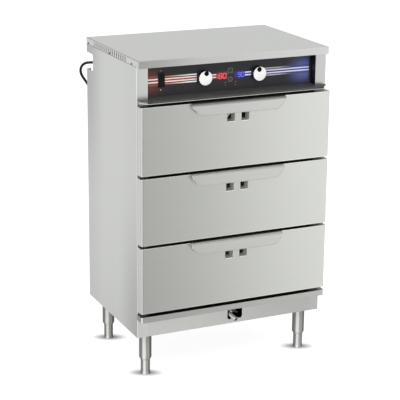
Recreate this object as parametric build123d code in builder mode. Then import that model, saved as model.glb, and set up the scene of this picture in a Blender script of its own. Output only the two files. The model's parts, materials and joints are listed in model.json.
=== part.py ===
"""A free-standing warming cabinet on four legs, with three heated drawers.

X runs across the front (right is +X), Y runs from the front to the back and Z is up. The origin
is on the floor, under the middle of the cabinet without its mains cord. Sizes are in millimetres.
Y places are written as a distance behind the face of the front stiles: behind(0) is that face.
"""

from build123d import *
import math
import os

# Outside of the cabinet
cabinet_width = 700.0
cabinet_depth = 462.0  # front stiles to the rear edges of the side panels
cabinet_height = 1112.0
half_width = cabinet_width / 2
leg_height = 155.0
front_proud = 37.4  # drawer fronts in front of the stiles
handle_proud = 17.0  # handles in front of the drawer fronts
sheet = 1.2
frame_sheet = 1.5

# Top cover
cover_overhang = 18.0
cover_lip = 25.4
cover_flange = 23.0
cover_bend = 2.5
slot_count = 16
slot_first = 96.0
slot_last = 385.0
slot_width = 5.0
slot_height = 11.0
slot_below_top = 10.0

# Side panels, back and base
stile_width = 40.0
stile_return = 10.0
panel_below_top = 15.0
panel_bend = 2.2
rear_flange = 14.0
back_recess = 82.0
base_back = 436.0  # rear edge of the base pan
notch_depth = 60.0
notch_height = 60.0
notch_bottom = cabinet_height - 112.0
notch_radius = 9.0
back_flange = 12.0
base_flange = 25.0
skirt_flange = 12.0
drain_cutout = (-10.0, 46.0, 170.0, 208.0)  # left, right, bottom, top
drain_corner = 8.0
trim_proud = 39.0
trim_bottom = 221.5
trim_top = 241.5
trim_radius = 6.0

# Drawers, from the bottom one up
drawer_levels = ("bottom", "middle", "top")
first_drawer_bottom = 251.8
above_drawers = 150.2  # from the top drawer to the top of the cabinet
drawer_gap = 8.5
drawer_space = cabinet_height - above_drawers - first_drawer_bottom
drawer_height = (drawer_space + drawer_gap) / len(drawer_levels) - drawer_gap
front_corner = 8.0
front_bend = 2.0
gasket_thick = 5.0
gasket_squeeze = 0.3  # left between the gasket and the drawer
gasket_side = 8.0
gasket_edge = 4.5
gasket_inset_side = 30.0
gasket_inset_edge = 1.0
seat_past_gasket = 1.0

# Handle, a pressed cup open at the bottom
handle_half_width = 172.5
handle_foot_half_width = 144.4
handle_drop = 39.0
handle_shoulder_drop = 9.0
handle_roll = 13.5
handle_sheet = 1.5
handle_flange = 14.0
handle_corner = 36.0
handle_shoulder = 14.0
handle_edge_round = 1.2

# Vent windows and their dampers
window_size = 28.5
window_spacing = 53.3
window_drop = 44.5
window_margin = 1.0
damper_thick = 1.2
damper_slack = 0.3
damper_tip_gap = 3.0
damper_height = 34.0
damper_length = 92.0
damper_travel = 121.0
damper_rest_opening = {"bottom": 0.0, "middle": 0.0, "top": 20.0}

# Drawer frame, slides and pan
cavity_half_width = half_width - stile_width
cavity_back = 372.0
rail_height = 45.0
rail_thickness = 12.7
rail_wall = 1.2
rail_clearance = 0.5
rail_start = 12.0
rail_length = 346.0
carrier_back = 345.0
carrier_web = 44.0
rim_above_drawer_bottom = 160.0
slide_below_rim = 24.0
pan_length = 530.0
pan_width = 325.0
pan_rim = 12.5
pan_depth = 148.0
pan_taper = 11.5
pan_wall = 1.0
pan_corner = 30.0
pan_centre = 176.5
pan_clearance = 3.5

# Control panel
ledge_top = cabinet_height - 132.5
ledge_proud = 36.0
ledge_inset = 4.0
ledge_clip = 22.0
ledge_lip = 7.0
panel_recess = 35.0
overlay_thick = 1.0
overlay_inset = 8.0
overlay_below_top = 26.0
knob_places = {"heat": -95.0, "humidity": 106.0}
knob_height = cabinet_height - 82.0
knob_radius = 24.5
knob_front = 17.0
knob_round = 1.6
knob_gap = 0.3
dimple_radius = 4.0
dimple_depth = 1.2
dimple_up = 15.5
shaft_radius = 3.0
shaft_clearance = 0.05
bush_radius = 4.5
encoder_size = 24.0
encoder_depth = 16.0
shaft_end = 46.0
red_window = (-44.8, -6.6, knob_height - 12.0, knob_height + 13.9)
blue_window = (17.5, 56.6, knob_height - 10.1, knob_height + 11.4)
display_slack = 0.2
display_border = 3.0
display_depth = 18.0
key_x = 3.6
key_heights = {"upper": knob_height + 15.0, "lower": knob_height - 14.1}
key_size = 9.0
key_proud = 1.2
key_slack = 0.3
key_travel = 0.8
key_stem_radius = 1.5
rocker_x = -247.6
rocker_z = knob_height + 3.2
rocker_frame_width = 24.6
rocker_frame_height = 51.6
rocker_frame_proud = 2.0
rocker_body_depth = 22.0
rocker_wall = 1.6
rocker_width = 17.6
rocker_height = 39.0
rocker_slack = 0.4
rocker_tilt = 7.0
rocker_pivot_depth = 8.0
rocker_proud = 4.5
rocker_pin_radius = 1.5
rocker_pin_clearance = 0.05
rocker_pin_reach = 0.7
rocker_hollow = 2.4
rocker_back = 3.0
rocker_back_inset = 7.5
rocker_well_slack = 2.0
rocker_well_depth = 8.0
rocker_frame_round = 1.2

# Inside: liner, insulation, electrics
liner_front = 10.0
liner_bottom = 246.0
liner_top = ledge_top - 13.5
insulation_front = 12.0
insulation_top = ledge_top + 20.5
board_front = 62.0
board_thick = 1.6
board_half_width = 130.0
board_bottom = knob_height - 28.0
board_top = knob_height + 50.0
standoff_radius = 3.0
spacer_inset = (10.0, 8.0)
key_switch_half = 3.0
key_switch_depth = 4.0
transformer = (-110.0, -60.0, 10.0, 50.0)  # left, right, and bottom and top above the board's bottom
transformer_depth = 26.0
relay_count = 3
relay_left = 10.0
relay_pitch = 34.0
relay_width = 28.0
relay_heights = (12.0, 27.0)  # above the board's bottom
relay_depth = 15.0
supply_box = (120.0, 220.0, knob_height - 18.0, knob_height + 62.0)
supply_depth = 42.0
supply_chamfer = 3.0
supply_tab = (12.0, 2.0, 20.0, 50.0)  # reach, thickness, bottom and top above the box's bottom
element_radius = 4.0
element_bend = 16.0
element_flange = 2.0
air_flange_half = 65.0
air_tail_half = 50.0
air_loop_half = 200.0
air_loop_rise = 54.0  # above the liner's floor
air_loop_height = 300.0
water_flange_half = 45.0
water_tail_half = 30.0
water_tail = 10.0
water_loop_inset = 50.0
water_front_gap = 40.0
water_loop_rise = 20.0
probe_radius = 3.0
probe_length = 66.0
probe_plate_radius = 9.0
probe_plate = 2.0
probe_tip_round = 2.6
probe_place = (-200.0, 357.0)

# Water tank and its drain
tank_half_width = 200.0
tank_front = 60.0
tank_back = 300.0
tank_bottom = 178.0
tank_rim = 12.0
drain_pivot = (16.0, 11.0, 196.0)
drain_pipe_radius = 8.5
drain_pipe_wall = 1.5
drain_housing_radius = 10.0
drain_housing = (9.0, 31.0)  # behind the pivot
drain_bore_start = 10.0
drain_stem_bore = 8.0
drain_spout = ((-4.0, 19.0, -2.0), (-21.0, 11.0, -2.0), (-2.5, -31.0, -21.5))  # from the pivot
drain_hub_radius = 5.5
drain_hub_half = 3.0
drain_stem = 16.0
drain_bar = (5.0, 3.0)  # width and thickness
drain_lever_length = 18.0
drain_lever_droop = 27.0

# Legs
leg_inset = 51.0
leg_back = 403.5
leg_radius = 21.5
leg_wall = 1.6
leg_cone_top = 62.0
leg_cone_bottom = 53.0
leg_cone_radius = 17.0
leg_top_plate = 3.6
foot_radius = 16.0
foot_flare = 1.5
foot_flare_top = 5.0
foot_shoulder = 9.0
foot_seat_gap = 0.2
stem_radius = 8.0
stem_clearance = 0.05
stem_top = 110.0
collar_top = 66.0
stud_top = 170.0
stud_hole_clearance = 0.2
nut_radius = 14.0
nut_height = 10.0

# Screws of the top cover
screw_places = (41.0, 237.0, 440.0)
screw_below_top = 18.5
screw_head_radius = 3.4
screw_head_height = 2.0
screw_shank_radius = 1.75
screw_hole_clearance = 0.1
screw_length = 8.0

# Mains cord
cord_diameter = 9.3
gland_place = (-half_width + 25.0, cabinet_height - 90.0)
gland_length = 42.8
gland_flange_radius = 14.0
gland_flange = 5.0
gland_nut = 5.0
gland_thread = 8.0
gland_dome_step = 2.0
gland_lip = 2.0
gland_thread_radius = 10.0
gland_hole_clearance = 0.2
cord_route = [
    (-325, 220.2, 1022), (-325, 246, 1022), (-331, 272, 1025), (-339, 302, 1022),
    (-345, 326, 1011), (-349, 339, 988), (-348, 339, 962), (-343, 326, 938),
    (-333, 303, 913), (-319, 276, 874), (-304, 257, 812), (-284, 248, 715),
    (-263, 246, 590), (-244, 247, 456), (-225, 250, 320), (-207, 257, 212),
    (-194, 261, 131), (-185, 264, 86), (-178, 266, 55), (-163, 270, 31.5),
    (-141, 273, 14.8), (-114, 276, 5), (-82, 278, 5), (-50, 278, 5),
]
coil_radius = 56.5
coil_pitch = 10.2
coil_layer = 10.2
coil_end_radius = 78.0
coil_half_turns = 6
plug_radius = 15.0
plug_length = 42.0
plug_neck = 8.0
plug_grip = 14.0
plug_neck_wall = 2.5
plug_step = 3.0
plug_round = 1.5
blade_length = 16.0
blade_offset = 6.3
blade_width = 6.4
blade_thick = 1.5
earth_pin_radius = 2.4
earth_pin_drop = 7.5
earth_pin_length = 19.0

# Places worked out from the sizes above
whole_depth = cabinet_depth + front_proud + handle_proud
stile_y = front_proud + handle_proud - whole_depth / 2
panel_outer = half_width - sheet
panel_inner = panel_outer - sheet
cover_underside = cabinet_height - sheet
stile_inner = half_width - stile_width
back_face = cabinet_depth - back_recess
drawer_pitch = drawer_height + drawer_gap
drawer_bottoms = [first_drawer_bottom + drawer_pitch * n for n in range(len(drawer_levels))]
drawer_back = -(gasket_thick + gasket_squeeze)
seat_reach = gasket_inset_edge + gasket_edge + seat_past_gasket
header_bottom = drawer_bottoms[-1] + drawer_height - seat_reach
overlay_front = panel_recess - overlay_thick
overlay_half_width = stile_inner - overlay_inset
ledge_half_width = half_width - ledge_inset
leg_places = [
    (side * (half_width - leg_inset), depth) for depth in (leg_inset, leg_back) for side in (-1, 1)
]
rail_outer_x = cavity_half_width - rail_wall
middle_web_x = rail_outer_x - rail_clearance
carrier_half_width = cavity_half_width - rail_thickness

os.makedirs("parts", exist_ok=True)


def behind(distance):
    """Y of a point that lies this far behind the face of the front stiles."""
    return stile_y + distance


def block(x, y, z, mode=Mode.ADD):
    """A block between its low and high X, depth behind the stiles, and Z."""
    with Locations(((x[0] + x[1]) / 2, behind((y[0] + y[1]) / 2), (z[0] + z[1]) / 2)):
        Box(x[1] - x[0], y[1] - y[0], z[1] - z[0], mode=mode)


def rod(x, z, y, radius, mode=Mode.ADD):
    """A round bar along Y, between two depths behind the stiles."""
    with Locations(Plane((x, behind(y[0]), z), z_dir=(0, 1, 0))):
        Cylinder(radius, y[1] - y[0], align=(Align.CENTER, Align.CENTER, Align.MIN), mode=mode)


def window(place, y, mode=Mode.SUBTRACT, margin=0.0):
    """A rectangular cut-out given as left, right, bottom and top."""
    block((place[0] - margin, place[1] + margin), y, (place[2] - margin, place[3] + margin), mode)


def outline_prism(points, y, corners):
    """A prism along Y from a front outline of X and Z points; corners pairs points with radii."""
    with BuildSketch(Plane.XZ.offset(-behind(y[0]))) as outline:
        with BuildLine():
            Polyline(*points, close=True)
        make_face()
        for point, radius in corners:
            fillet(outline.vertices().sort_by_distance(Vector(*point))[0], radius)
    return extrude(outline.sketch, amount=y[0] - y[1], mode=Mode.PRIVATE)


def write(piece, node):
    """Labels a finished piece and writes it to its own file."""
    piece.label = node
    export_step(piece, f"parts/{node}.step")


def make_top_cover():
    """The folded top with its front lip, side and rear flanges and cooling slots."""
    front = -cover_overhang
    with BuildPart() as top_cover:
        block((-half_width, half_width), (front, cabinet_depth), (cabinet_height - cover_lip, cabinet_height))
        bends = top_cover.edges().filter_by(Axis.Z) + top_cover.faces().sort_by(Axis.Z)[-1].edges()
        fillet(bends, cover_bend)
        block((-panel_outer, panel_outer), (front + sheet, cabinet_depth - sheet),
              (cabinet_height - cover_lip, cover_underside), Mode.SUBTRACT)
        block((-half_width, half_width), (0, cabinet_depth),
              (cabinet_height - cover_lip, cabinet_height - cover_flange), Mode.SUBTRACT)
        slot_middle = cabinet_height - slot_below_top
        for n in range(slot_count):
            middle = slot_first + (slot_last - slot_first) * n / (slot_count - 1)
            block((-half_width, half_width), (middle - slot_width / 2, middle + slot_width / 2),
                  (slot_middle - slot_height / 2, slot_middle + slot_height / 2), Mode.SUBTRACT)
        drill_screw_holes()
    write(top_cover.part, "top_cover")


def drill_screw_holes():
    """Holes along X for the screws that hold the top cover to the side panels."""
    for depth in screw_places:
        with Locations(Plane((0, behind(depth), cabinet_height - screw_below_top), z_dir=(1, 0, 0))):
            Cylinder(screw_shank_radius + screw_hole_clearance, cabinet_width + sheet, mode=Mode.SUBTRACT)


def make_side_panel(side, node):
    """A side with its front stile, the return beside the drawers and the wall of the panel recess."""
    top = cabinet_height - panel_below_top

    def across(inner, outer):
        return tuple(sorted((side * inner, side * outer)))

    with BuildPart() as side_panel:
        block(across(panel_inner, panel_outer), (0, cabinet_depth), (leg_height, top))
        block(across(stile_inner, panel_outer), (0, sheet), (leg_height, cover_underside))
        fillet(side_panel.edges().filter_by(Axis.Z).filter_by(
            lambda edge: abs(abs(edge.center().X) - panel_outer) < 0.01
            and abs(edge.center().Y - stile_y) < 0.01), panel_bend)
        block(across(stile_inner, stile_inner + sheet), (sheet, stile_return), (leg_height + sheet, ledge_top))
        block(across(stile_inner, stile_inner + sheet), (sheet, panel_recess + sheet),
              (ledge_top, cover_underside))
        block(across(panel_inner - rear_flange, panel_inner), (cabinet_depth - sheet, cabinet_depth),
              (leg_height, top))
        block(across(stile_inner, half_width), (cabinet_depth - sheet, cabinet_depth),
              (cabinet_height - cover_flange, top), Mode.SUBTRACT)
        drill_screw_holes()
        if side < 0:
            with BuildSketch(Plane.YZ.offset(-half_width)):
                with Locations((behind(cabinet_depth), notch_bottom + notch_height / 2)):
                    RectangleRounded(2 * notch_depth, notch_height, notch_radius)
            extrude(amount=stile_width, mode=Mode.SUBTRACT)
    write(side_panel.part, node)


def make_back_panel():
    """The recessed back with side flanges turned to the rear and the hole for the cord gland."""
    with BuildPart() as back_panel:
        block((-panel_inner, panel_inner), (back_face, back_face + sheet),
              (leg_height + sheet, cover_underside))
        for side in (-1, 1):
            edge = sorted((side * panel_inner, side * (panel_inner - sheet)))
            block(edge, (back_face + sheet, back_face + back_flange), (leg_height + sheet, notch_bottom))
        rod(gland_place[0], gland_place[1], (back_face - sheet, back_face + 2 * sheet),
            gland_thread_radius + gland_hole_clearance, Mode.SUBTRACT)
    write(back_panel.part, "back_panel")


def make_base_pan():
    """The floor of the cabinet, which the legs bolt to, with three edges turned up."""
    floor = (leg_height, leg_height + sheet)
    wall = (leg_height + sheet, leg_height + base_flange)
    with BuildPart() as base_pan:
        block((-panel_inner, panel_inner), (sheet, base_back), floor)
        for side in (-1, 1):
            edge = sorted((side * panel_inner, side * (panel_inner - sheet)))
            block(edge, (sheet, back_face), wall)
        block((-panel_inner + sheet, panel_inner - sheet), (base_back - sheet, base_back), wall)
        for x, depth in leg_places:
            with Locations((x, behind(depth), leg_height)):
                Cylinder(stem_radius + stud_hole_clearance, base_flange, mode=Mode.SUBTRACT)
    write(base_pan.part, "base_pan")


def make_front_skirt():
    """The plate under the drawers, with the rounded cut-out for the drain."""
    left, right, bottom, top = drain_cutout
    corners = [(left, bottom), (right, bottom), (right, top), (left, top)]
    opening = outline_prism(corners, (-sheet, 2 * sheet), [(corner, drain_corner) for corner in corners])
    with BuildPart() as front_skirt:
        block((-stile_inner, stile_inner), (0, sheet), (leg_height, trim_top))
        block((-stile_inner, stile_inner), (sheet, skirt_flange), (trim_top - sheet, trim_top))
        add(opening, mode=Mode.SUBTRACT)
    write(front_skirt.part, "front_skirt")


def make_bottom_trim():
    """The channel across the front below the lowest drawer."""
    with BuildPart() as bottom_trim:
        block((-half_width, half_width), (-trim_proud, 0), (trim_bottom, trim_top))
        front_edges = bottom_trim.edges().filter_by(Axis.Z).group_by(Axis.Y)[0]
        fillet(front_edges, trim_radius)
        block((-half_width + sheet, half_width - sheet), (-trim_proud + trim_radius, 0),
              (trim_bottom + sheet, trim_top - sheet), Mode.SUBTRACT)
        block((-half_width + trim_radius, half_width - trim_radius), (-trim_proud + sheet, 0),
              (trim_bottom + sheet, trim_top - sheet), Mode.SUBTRACT)
    write(bottom_trim.part, "bottom_trim")


def cut_panel_openings(y):
    """Openings for the rocker, the knob bushes, the displays and the keys."""
    half_rocker = (rocker_frame_width - 2 * rocker_wall) / 2
    half_rocker_height = (rocker_frame_height - 2 * rocker_wall) / 2
    window((rocker_x - half_rocker, rocker_x + half_rocker,
            rocker_z - half_rocker_height, rocker_z + half_rocker_height), y)
    for x in knob_places.values():
        rod(x, knob_height, y, bush_radius + shaft_clearance, Mode.SUBTRACT)
    for place in (red_window, blue_window):
        window(place, y, margin=display_slack)
    half_key = key_size / 2 + key_slack
    upper = key_heights["upper"]
    window((key_x - half_key, key_x + half_key, upper - half_key, upper + half_key), y)
    rod(key_x, key_heights["lower"], y, half_key, Mode.SUBTRACT)


def make_control_plate():
    """The bent sheet behind the controls, whose foot runs forward as a ledge with a lip."""
    clip_x = ledge_half_width - ledge_clip
    clip_y = -ledge_proud + ledge_clip
    right_side = [(stile_inner, panel_recess), (stile_inner, 0), (ledge_half_width, 0),
                  (ledge_half_width, clip_y), (clip_x, -ledge_proud)]
    left_side = [(-x, y) for x, y in reversed(right_side)]
    with BuildPart() as control_plate:
        with BuildSketch(Plane.XY.offset(ledge_top - sheet)):
            with BuildLine():
                Polyline(*[(x, behind(y)) for x, y in right_side + left_side], close=True)
            make_face()
        extrude(amount=sheet)
        block((-clip_x, clip_x), (-ledge_proud, -ledge_proud + sheet), (ledge_top - ledge_lip, ledge_top - sheet))
        block((-stile_inner, stile_inner), (panel_recess, panel_recess + sheet),
              (ledge_top - sheet, cover_underside))
        cut_panel_openings((panel_recess - sheet, panel_recess + 2 * sheet))
    write(control_plate.part, "control_plate")


def make_control_overlay():
    """The dark printed plate that covers the control plate."""
    with BuildPart() as control_overlay:
        block((-overlay_half_width, overlay_half_width), (overlay_front, panel_recess), (ledge_top, cabinet_height - overlay_below_top))
        cut_panel_openings((overlay_front - sheet, panel_recess + sheet))
    write(control_overlay.part, "control_overlay")


def make_inner_liner():
    """The heated box behind the drawers, open at the front, with a steam opening in its floor."""
    outer = cavity_half_width + sheet
    with BuildPart() as inner_liner:
        block((-outer, outer), (liner_front, cavity_back + sheet), (liner_bottom - sheet, liner_top + sheet))
        block((-cavity_half_width, cavity_half_width), (0, cavity_back), (liner_bottom, liner_top), Mode.SUBTRACT)
        block((-tank_half_width + tank_rim, tank_half_width - tank_rim),
              (tank_front + tank_rim, tank_back - tank_rim),
              (liner_bottom - 2 * sheet, liner_bottom + sheet), Mode.SUBTRACT)
    write(inner_liner.part, "inner_liner")


def make_insulation():
    """The blanket round the liner's sides, back and top."""
    liner_outer = cavity_half_width + sheet
    with BuildPart() as insulation:
        block((-panel_inner, panel_inner), (insulation_front, back_face), (liner_bottom, insulation_top))
        block((-liner_outer, liner_outer), (0, cavity_back + sheet), (liner_bottom - sheet, liner_top + sheet),
              Mode.SUBTRACT)
        block((-liner_outer, liner_outer), (0, panel_recess + 2 * sheet), (liner_top, insulation_top + sheet),
              Mode.SUBTRACT)
    write(insulation.part, "insulation")


def channel(side, web, reach, half_height, y, z):
    """A rail along Y with its web at X = web and its two flanges reaching inwards to X = reach."""
    inner_web = web - rail_wall
    block(sorted((side * web, side * inner_web)), y, (z - half_height, z + half_height))
    for up in (-1, 1):
        flange = sorted((z + up * half_height, z + up * (half_height - rail_wall)))
        block(sorted((side * inner_web, side * reach)), y, flange)


def slide_height(bottom):
    """Height of the middle of a drawer's slides."""
    return bottom + rim_above_drawer_bottom - slide_below_rim


def make_cabinet_rails():
    """The six outer slide members on the liner's walls."""
    with BuildPart() as cabinet_rails:
        for bottom in drawer_bottoms:
            for side in (-1, 1):
                channel(side, cavity_half_width, cavity_half_width - rail_thickness + 3 * rail_clearance,
                        rail_height / 2, (rail_start, rail_start + rail_length), slide_height(bottom))
    write(cabinet_rails.part, "cabinet_rails")


def cross_rail(low, high):
    """A channel between the stiles with its flanges to the rear."""
    block((-stile_inner, stile_inner), (0, sheet), (low, high))
    for flange in ((low, low + sheet), (high - sheet, high)):
        block((-stile_inner, stile_inner), (sheet, liner_front), flange)


def make_cross_rails():
    """The header, the two rails between the drawers and the sill."""
    with BuildPart() as cross_rails:
        cross_rail(header_bottom, ledge_top - sheet)
        for lower, upper in zip(drawer_bottoms, drawer_bottoms[1:]):
            cross_rail(lower + drawer_height - seat_reach, upper + seat_reach)
        cross_rail(trim_top, drawer_bottoms[0] + seat_reach)
    write(cross_rails.part, "cross_rails")


def make_drawer_gaskets():
    """A soft ring on the stiles and cross rails round each drawer opening."""
    outer = half_width - gasket_inset_side
    inner = outer - gasket_side
    with BuildPart() as drawer_gaskets:
        for bottom in drawer_bottoms:
            low = bottom + gasket_inset_edge
            high = bottom + drawer_height - gasket_inset_edge
            block((-outer, outer), (-gasket_thick, 0), (low, high))
            block((-inner, inner), (-gasket_thick, 0), (low + gasket_edge, high - gasket_edge), Mode.SUBTRACT)
    write(drawer_gaskets.part, "drawer_gaskets")


def heating_rod(points, flange_half, flange_y):
    """A round heating rod through points given as X, depth and Z, with its flange plate."""
    route_points = [(x, behind(depth), z) for x, depth, z in points]
    with BuildLine() as route:
        FilletPolyline(*route_points, radius=element_bend)
    with BuildSketch(Plane(origin=route_points[0], z_dir=(0, -1, 0))) as section:
        Circle(element_radius)
    sweep(section.sketch, path=route.line)
    middle = points[0][2]
    block((-flange_half, flange_half), flange_y, (middle - element_bend, middle + element_bend))


def make_heating_elements():
    """The air element behind the drawers and the immersion element in the water tank."""
    air_start = cavity_back - element_flange
    air_plane = air_start - element_bend - element_flange
    low = liner_bottom + air_loop_rise
    high = low + air_loop_height
    air = [(-air_tail_half, air_start, low), (-air_tail_half, air_plane, low), (-air_loop_half, air_plane, low),
           (-air_loop_half, air_plane, high), (air_loop_half, air_plane, high), (air_loop_half, air_plane, low),
           (air_tail_half, air_plane, low), (air_tail_half, air_start, low)]
    water_wall = tank_back - sheet
    water_start = water_wall - element_flange
    water_plane = water_start - element_bend - water_tail
    level = tank_bottom + water_loop_rise
    reach = tank_half_width - water_loop_inset
    near = tank_front + water_front_gap
    water = [(-water_tail_half, water_start, level), (-water_tail_half, water_plane, level),
             (-reach, water_plane, level), (-reach, near, level), (reach, near, level),
             (reach, water_plane, level), (water_tail_half, water_plane, level),
             (water_tail_half, water_start, level)]
    with BuildPart() as heating_elements:
        heating_rod(air, air_flange_half, (air_start, cavity_back))
        heating_rod(water, water_flange_half, (water_start, water_wall))
    write(heating_elements.part, "heating_elements")


def make_water_tank():
    """The open tank under the steam opening, hung by its rim, with the outlet to the drain."""
    top = liner_bottom - sheet
    rim_half = tank_half_width + tank_rim
    with BuildPart() as water_tank:
        block((-tank_half_width, tank_half_width), (tank_front, tank_back), (tank_bottom, top))
        block((-rim_half, rim_half), (tank_front - tank_rim, tank_back + tank_rim), (top - sheet, top))
        block((-tank_half_width + sheet, tank_half_width - sheet), (tank_front + sheet, tank_back - sheet),
              (tank_bottom + sheet, top + sheet), Mode.SUBTRACT)
        rod(drain_pivot[0], drain_pivot[2], (tank_front - sheet, tank_front + 2 * sheet),
            drain_pipe_radius - drain_pipe_wall, Mode.SUBTRACT)
    write(water_tank.part, "water_tank")


def make_drain_valve():
    """The tap on the tank: inlet, plug housing and a spout that leaves through the skirt."""
    x, lever_depth, z = drain_pivot
    housing = [lever_depth + end for end in drain_housing]
    bore = drain_pipe_radius - drain_pipe_wall
    spout = [Vector(x + across, behind(lever_depth + back), z + up) for across, back, up in drain_spout]
    with BuildPart() as drain_valve:
        rod(x, z, housing, drain_housing_radius)
        rod(x, z, (housing[1], tank_front), drain_pipe_radius)
        for radius, mode in ((drain_pipe_radius, Mode.ADD), (bore, Mode.SUBTRACT)):
            with BuildLine() as route:
                FilletPolyline(*spout, radius=drain_pipe_radius + 1)
            with BuildSketch(Plane(origin=spout[0], z_dir=spout[1] - spout[0])) as section:
                Circle(radius)
            sweep(section.sketch, path=route.line, mode=mode)
        rod(x, z, (housing[0] + drain_bore_start, tank_front), bore, Mode.SUBTRACT)
        rod(x, z, (housing[0], housing[0] + drain_stem_bore), shaft_radius + shaft_clearance, Mode.SUBTRACT)
    write(drain_valve.part, "drain_valve")


def make_drain_lever():
    """The quarter-turn lever of the drain, seen through the skirt's cut-out."""
    x, depth, z = drain_pivot
    bar_width, bar_thick = drain_bar
    with BuildPart() as drain_lever:
        rod(x, z, (depth - drain_hub_half, depth + drain_hub_half), drain_hub_radius)
        rod(x, z, (depth + drain_hub_half, depth + drain_stem), shaft_radius)
        with Locations(Location((x, behind(depth), z), (0, drain_lever_droop, 0))):
            with Locations((drain_lever_length / 2 + 1, 0, 0)):
                Box(drain_lever_length, bar_thick, bar_width)
    write(drain_lever.part, "drain_lever")


def make_temperature_probe():
    """The air probe that hangs from the ceiling of the heated box."""
    x, depth = probe_place
    with BuildPart() as temperature_probe:
        with BuildSketch(Plane.XY.offset(liner_top)):
            with Locations((x, behind(depth))):
                Circle(probe_plate_radius)
        extrude(amount=-probe_plate)
        with BuildSketch(Plane.XY.offset(liner_top - probe_plate)):
            with Locations((x, behind(depth))):
                Circle(probe_radius)
        extrude(amount=-probe_length)
        fillet(temperature_probe.faces().sort_by(Axis.Z)[0].edges(), probe_tip_round)
    write(temperature_probe.part, "temperature_probe")


def make_control_board():
    """The board behind the panel on its four spacers, with the key switches and a few large parts."""
    spacer_x = board_half_width - spacer_inset[0]
    spacer_edge = spacer_inset[1]
    with BuildPart() as control_board:
        block((-board_half_width, board_half_width), (board_front, board_front + board_thick),
              (board_bottom, board_top))
        for x in (-spacer_x, spacer_x):
            for z in (board_bottom + spacer_edge, board_top - spacer_edge):
                rod(x, z, (panel_recess + sheet, board_front), standoff_radius)
        for z in key_heights.values():
            block((key_x - key_switch_half, key_x + key_switch_half), (board_front - key_switch_depth, board_front),
                  (z - key_switch_half, z + key_switch_half))
        rear = board_front + board_thick
        left, right, low, high = transformer
        block((left, right), (rear, rear + transformer_depth), (board_bottom + low, board_bottom + high))
        low, high = relay_heights
        for n in range(relay_count):
            left = relay_left + relay_pitch * n
            block((left, left + relay_width), (rear, rear + relay_depth), (board_bottom + low, board_bottom + high))
    write(control_board.part, "control_board")


def make_power_supply():
    """The supply box on the back panel, inside the control space."""
    left, right, bottom, top = supply_box
    reach, thick, low, high = supply_tab
    with BuildPart() as power_supply:
        block((left, right), (back_face - supply_depth, back_face), (bottom, top))
        chamfer(power_supply.edges().filter_by(Axis.Y), supply_chamfer)
        block((left - reach, right + reach), (back_face - thick, back_face), (bottom + low, bottom + high))
    write(power_supply.part, "power_supply")


def make_knob_encoders():
    """The two turning controls behind the plate, each with its bush and bore."""
    half = encoder_size / 2
    back = panel_recess + sheet
    with BuildPart() as knob_encoders:
        for x in knob_places.values():
            block((x - half, x + half), (back, back + encoder_depth), (knob_height - half, knob_height + half))
            rod(x, knob_height, (overlay_front, back), bush_radius)
            rod(x, knob_height, (overlay_front, shaft_end + knob_gap), shaft_radius + shaft_clearance,
                Mode.SUBTRACT)
    write(knob_encoders.part, "knob_encoders")


def make_display_modules():
    """The red and the blue display, each with a window that stands flush in the overlay."""
    back = panel_recess + sheet
    with BuildPart() as display_modules:
        for left, right, bottom, top in (red_window, blue_window):
            window((left, right, bottom, top), (overlay_front, back), Mode.ADD)
            window((left, right, bottom, top), (back, back + display_depth), Mode.ADD, display_border)
    write(display_modules.part, "display_modules")


def make_knob(name, x):
    """A flat round knob with a finger dimple near its top, and its shaft."""
    back = overlay_front - knob_gap
    with BuildPart() as knob:
        rod(x, knob_height, (knob_front, back), knob_radius)
        fillet(knob.faces().sort_by(Axis.Y)[0].edges(), knob_round)
        rod(x, knob_height + dimple_up, (knob_front, knob_front + dimple_depth), dimple_radius, Mode.SUBTRACT)
        rod(x, knob_height, (back, shaft_end), shaft_radius)
    write(knob.part, f"{name}_knob")


def make_key(name, z):
    """A small push key with its stem, square or round."""
    front = overlay_front - key_proud
    cap = (front, panel_recess + sheet + key_proud)
    half = key_size / 2
    with BuildPart() as key:
        if name == "upper":
            block((key_x - half, key_x + half), cap, (z - half, z + half))
        else:
            rod(key_x, z, cap, half)
        fillet(key.faces().sort_by(Axis.Y)[0].edges(), 0.5)
        rod(key_x, z, (cap[1], board_front - key_switch_depth - key_travel - key_slack), key_stem_radius)
    write(key.part, f"key_{name}")


def make_rocker_housing():
    """The snap-in frame and well of the power switch."""
    half_x, half_z = rocker_frame_width / 2, rocker_frame_height / 2
    well_x = rocker_width / 2 + rocker_slack
    well_z = rocker_height / 2 + rocker_well_slack
    pivot = overlay_front + rocker_pivot_depth
    with BuildPart() as rocker_housing:
        block((rocker_x - half_x, rocker_x + half_x), (overlay_front - rocker_frame_proud, overlay_front),
              (rocker_z - half_z, rocker_z + half_z))
        fillet(rocker_housing.faces().sort_by(Axis.Y)[0].edges(), rocker_frame_round)
        block((rocker_x - half_x + rocker_wall, rocker_x + half_x - rocker_wall),
              (overlay_front, overlay_front + rocker_body_depth),
              (rocker_z - half_z + rocker_wall, rocker_z + half_z - rocker_wall))
        block((rocker_x - well_x, rocker_x + well_x), (overlay_front - rocker_frame_proud, pivot + rocker_well_depth),
              (rocker_z - well_z, rocker_z + well_z), Mode.SUBTRACT)
        with Locations(Plane((rocker_x, behind(pivot), rocker_z), z_dir=(1, 0, 0))):
            Cylinder(rocker_pin_radius + rocker_pin_clearance, 2 * (well_x + sheet), mode=Mode.SUBTRACT)
    write(rocker_housing.part, "rocker_housing")


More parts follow.
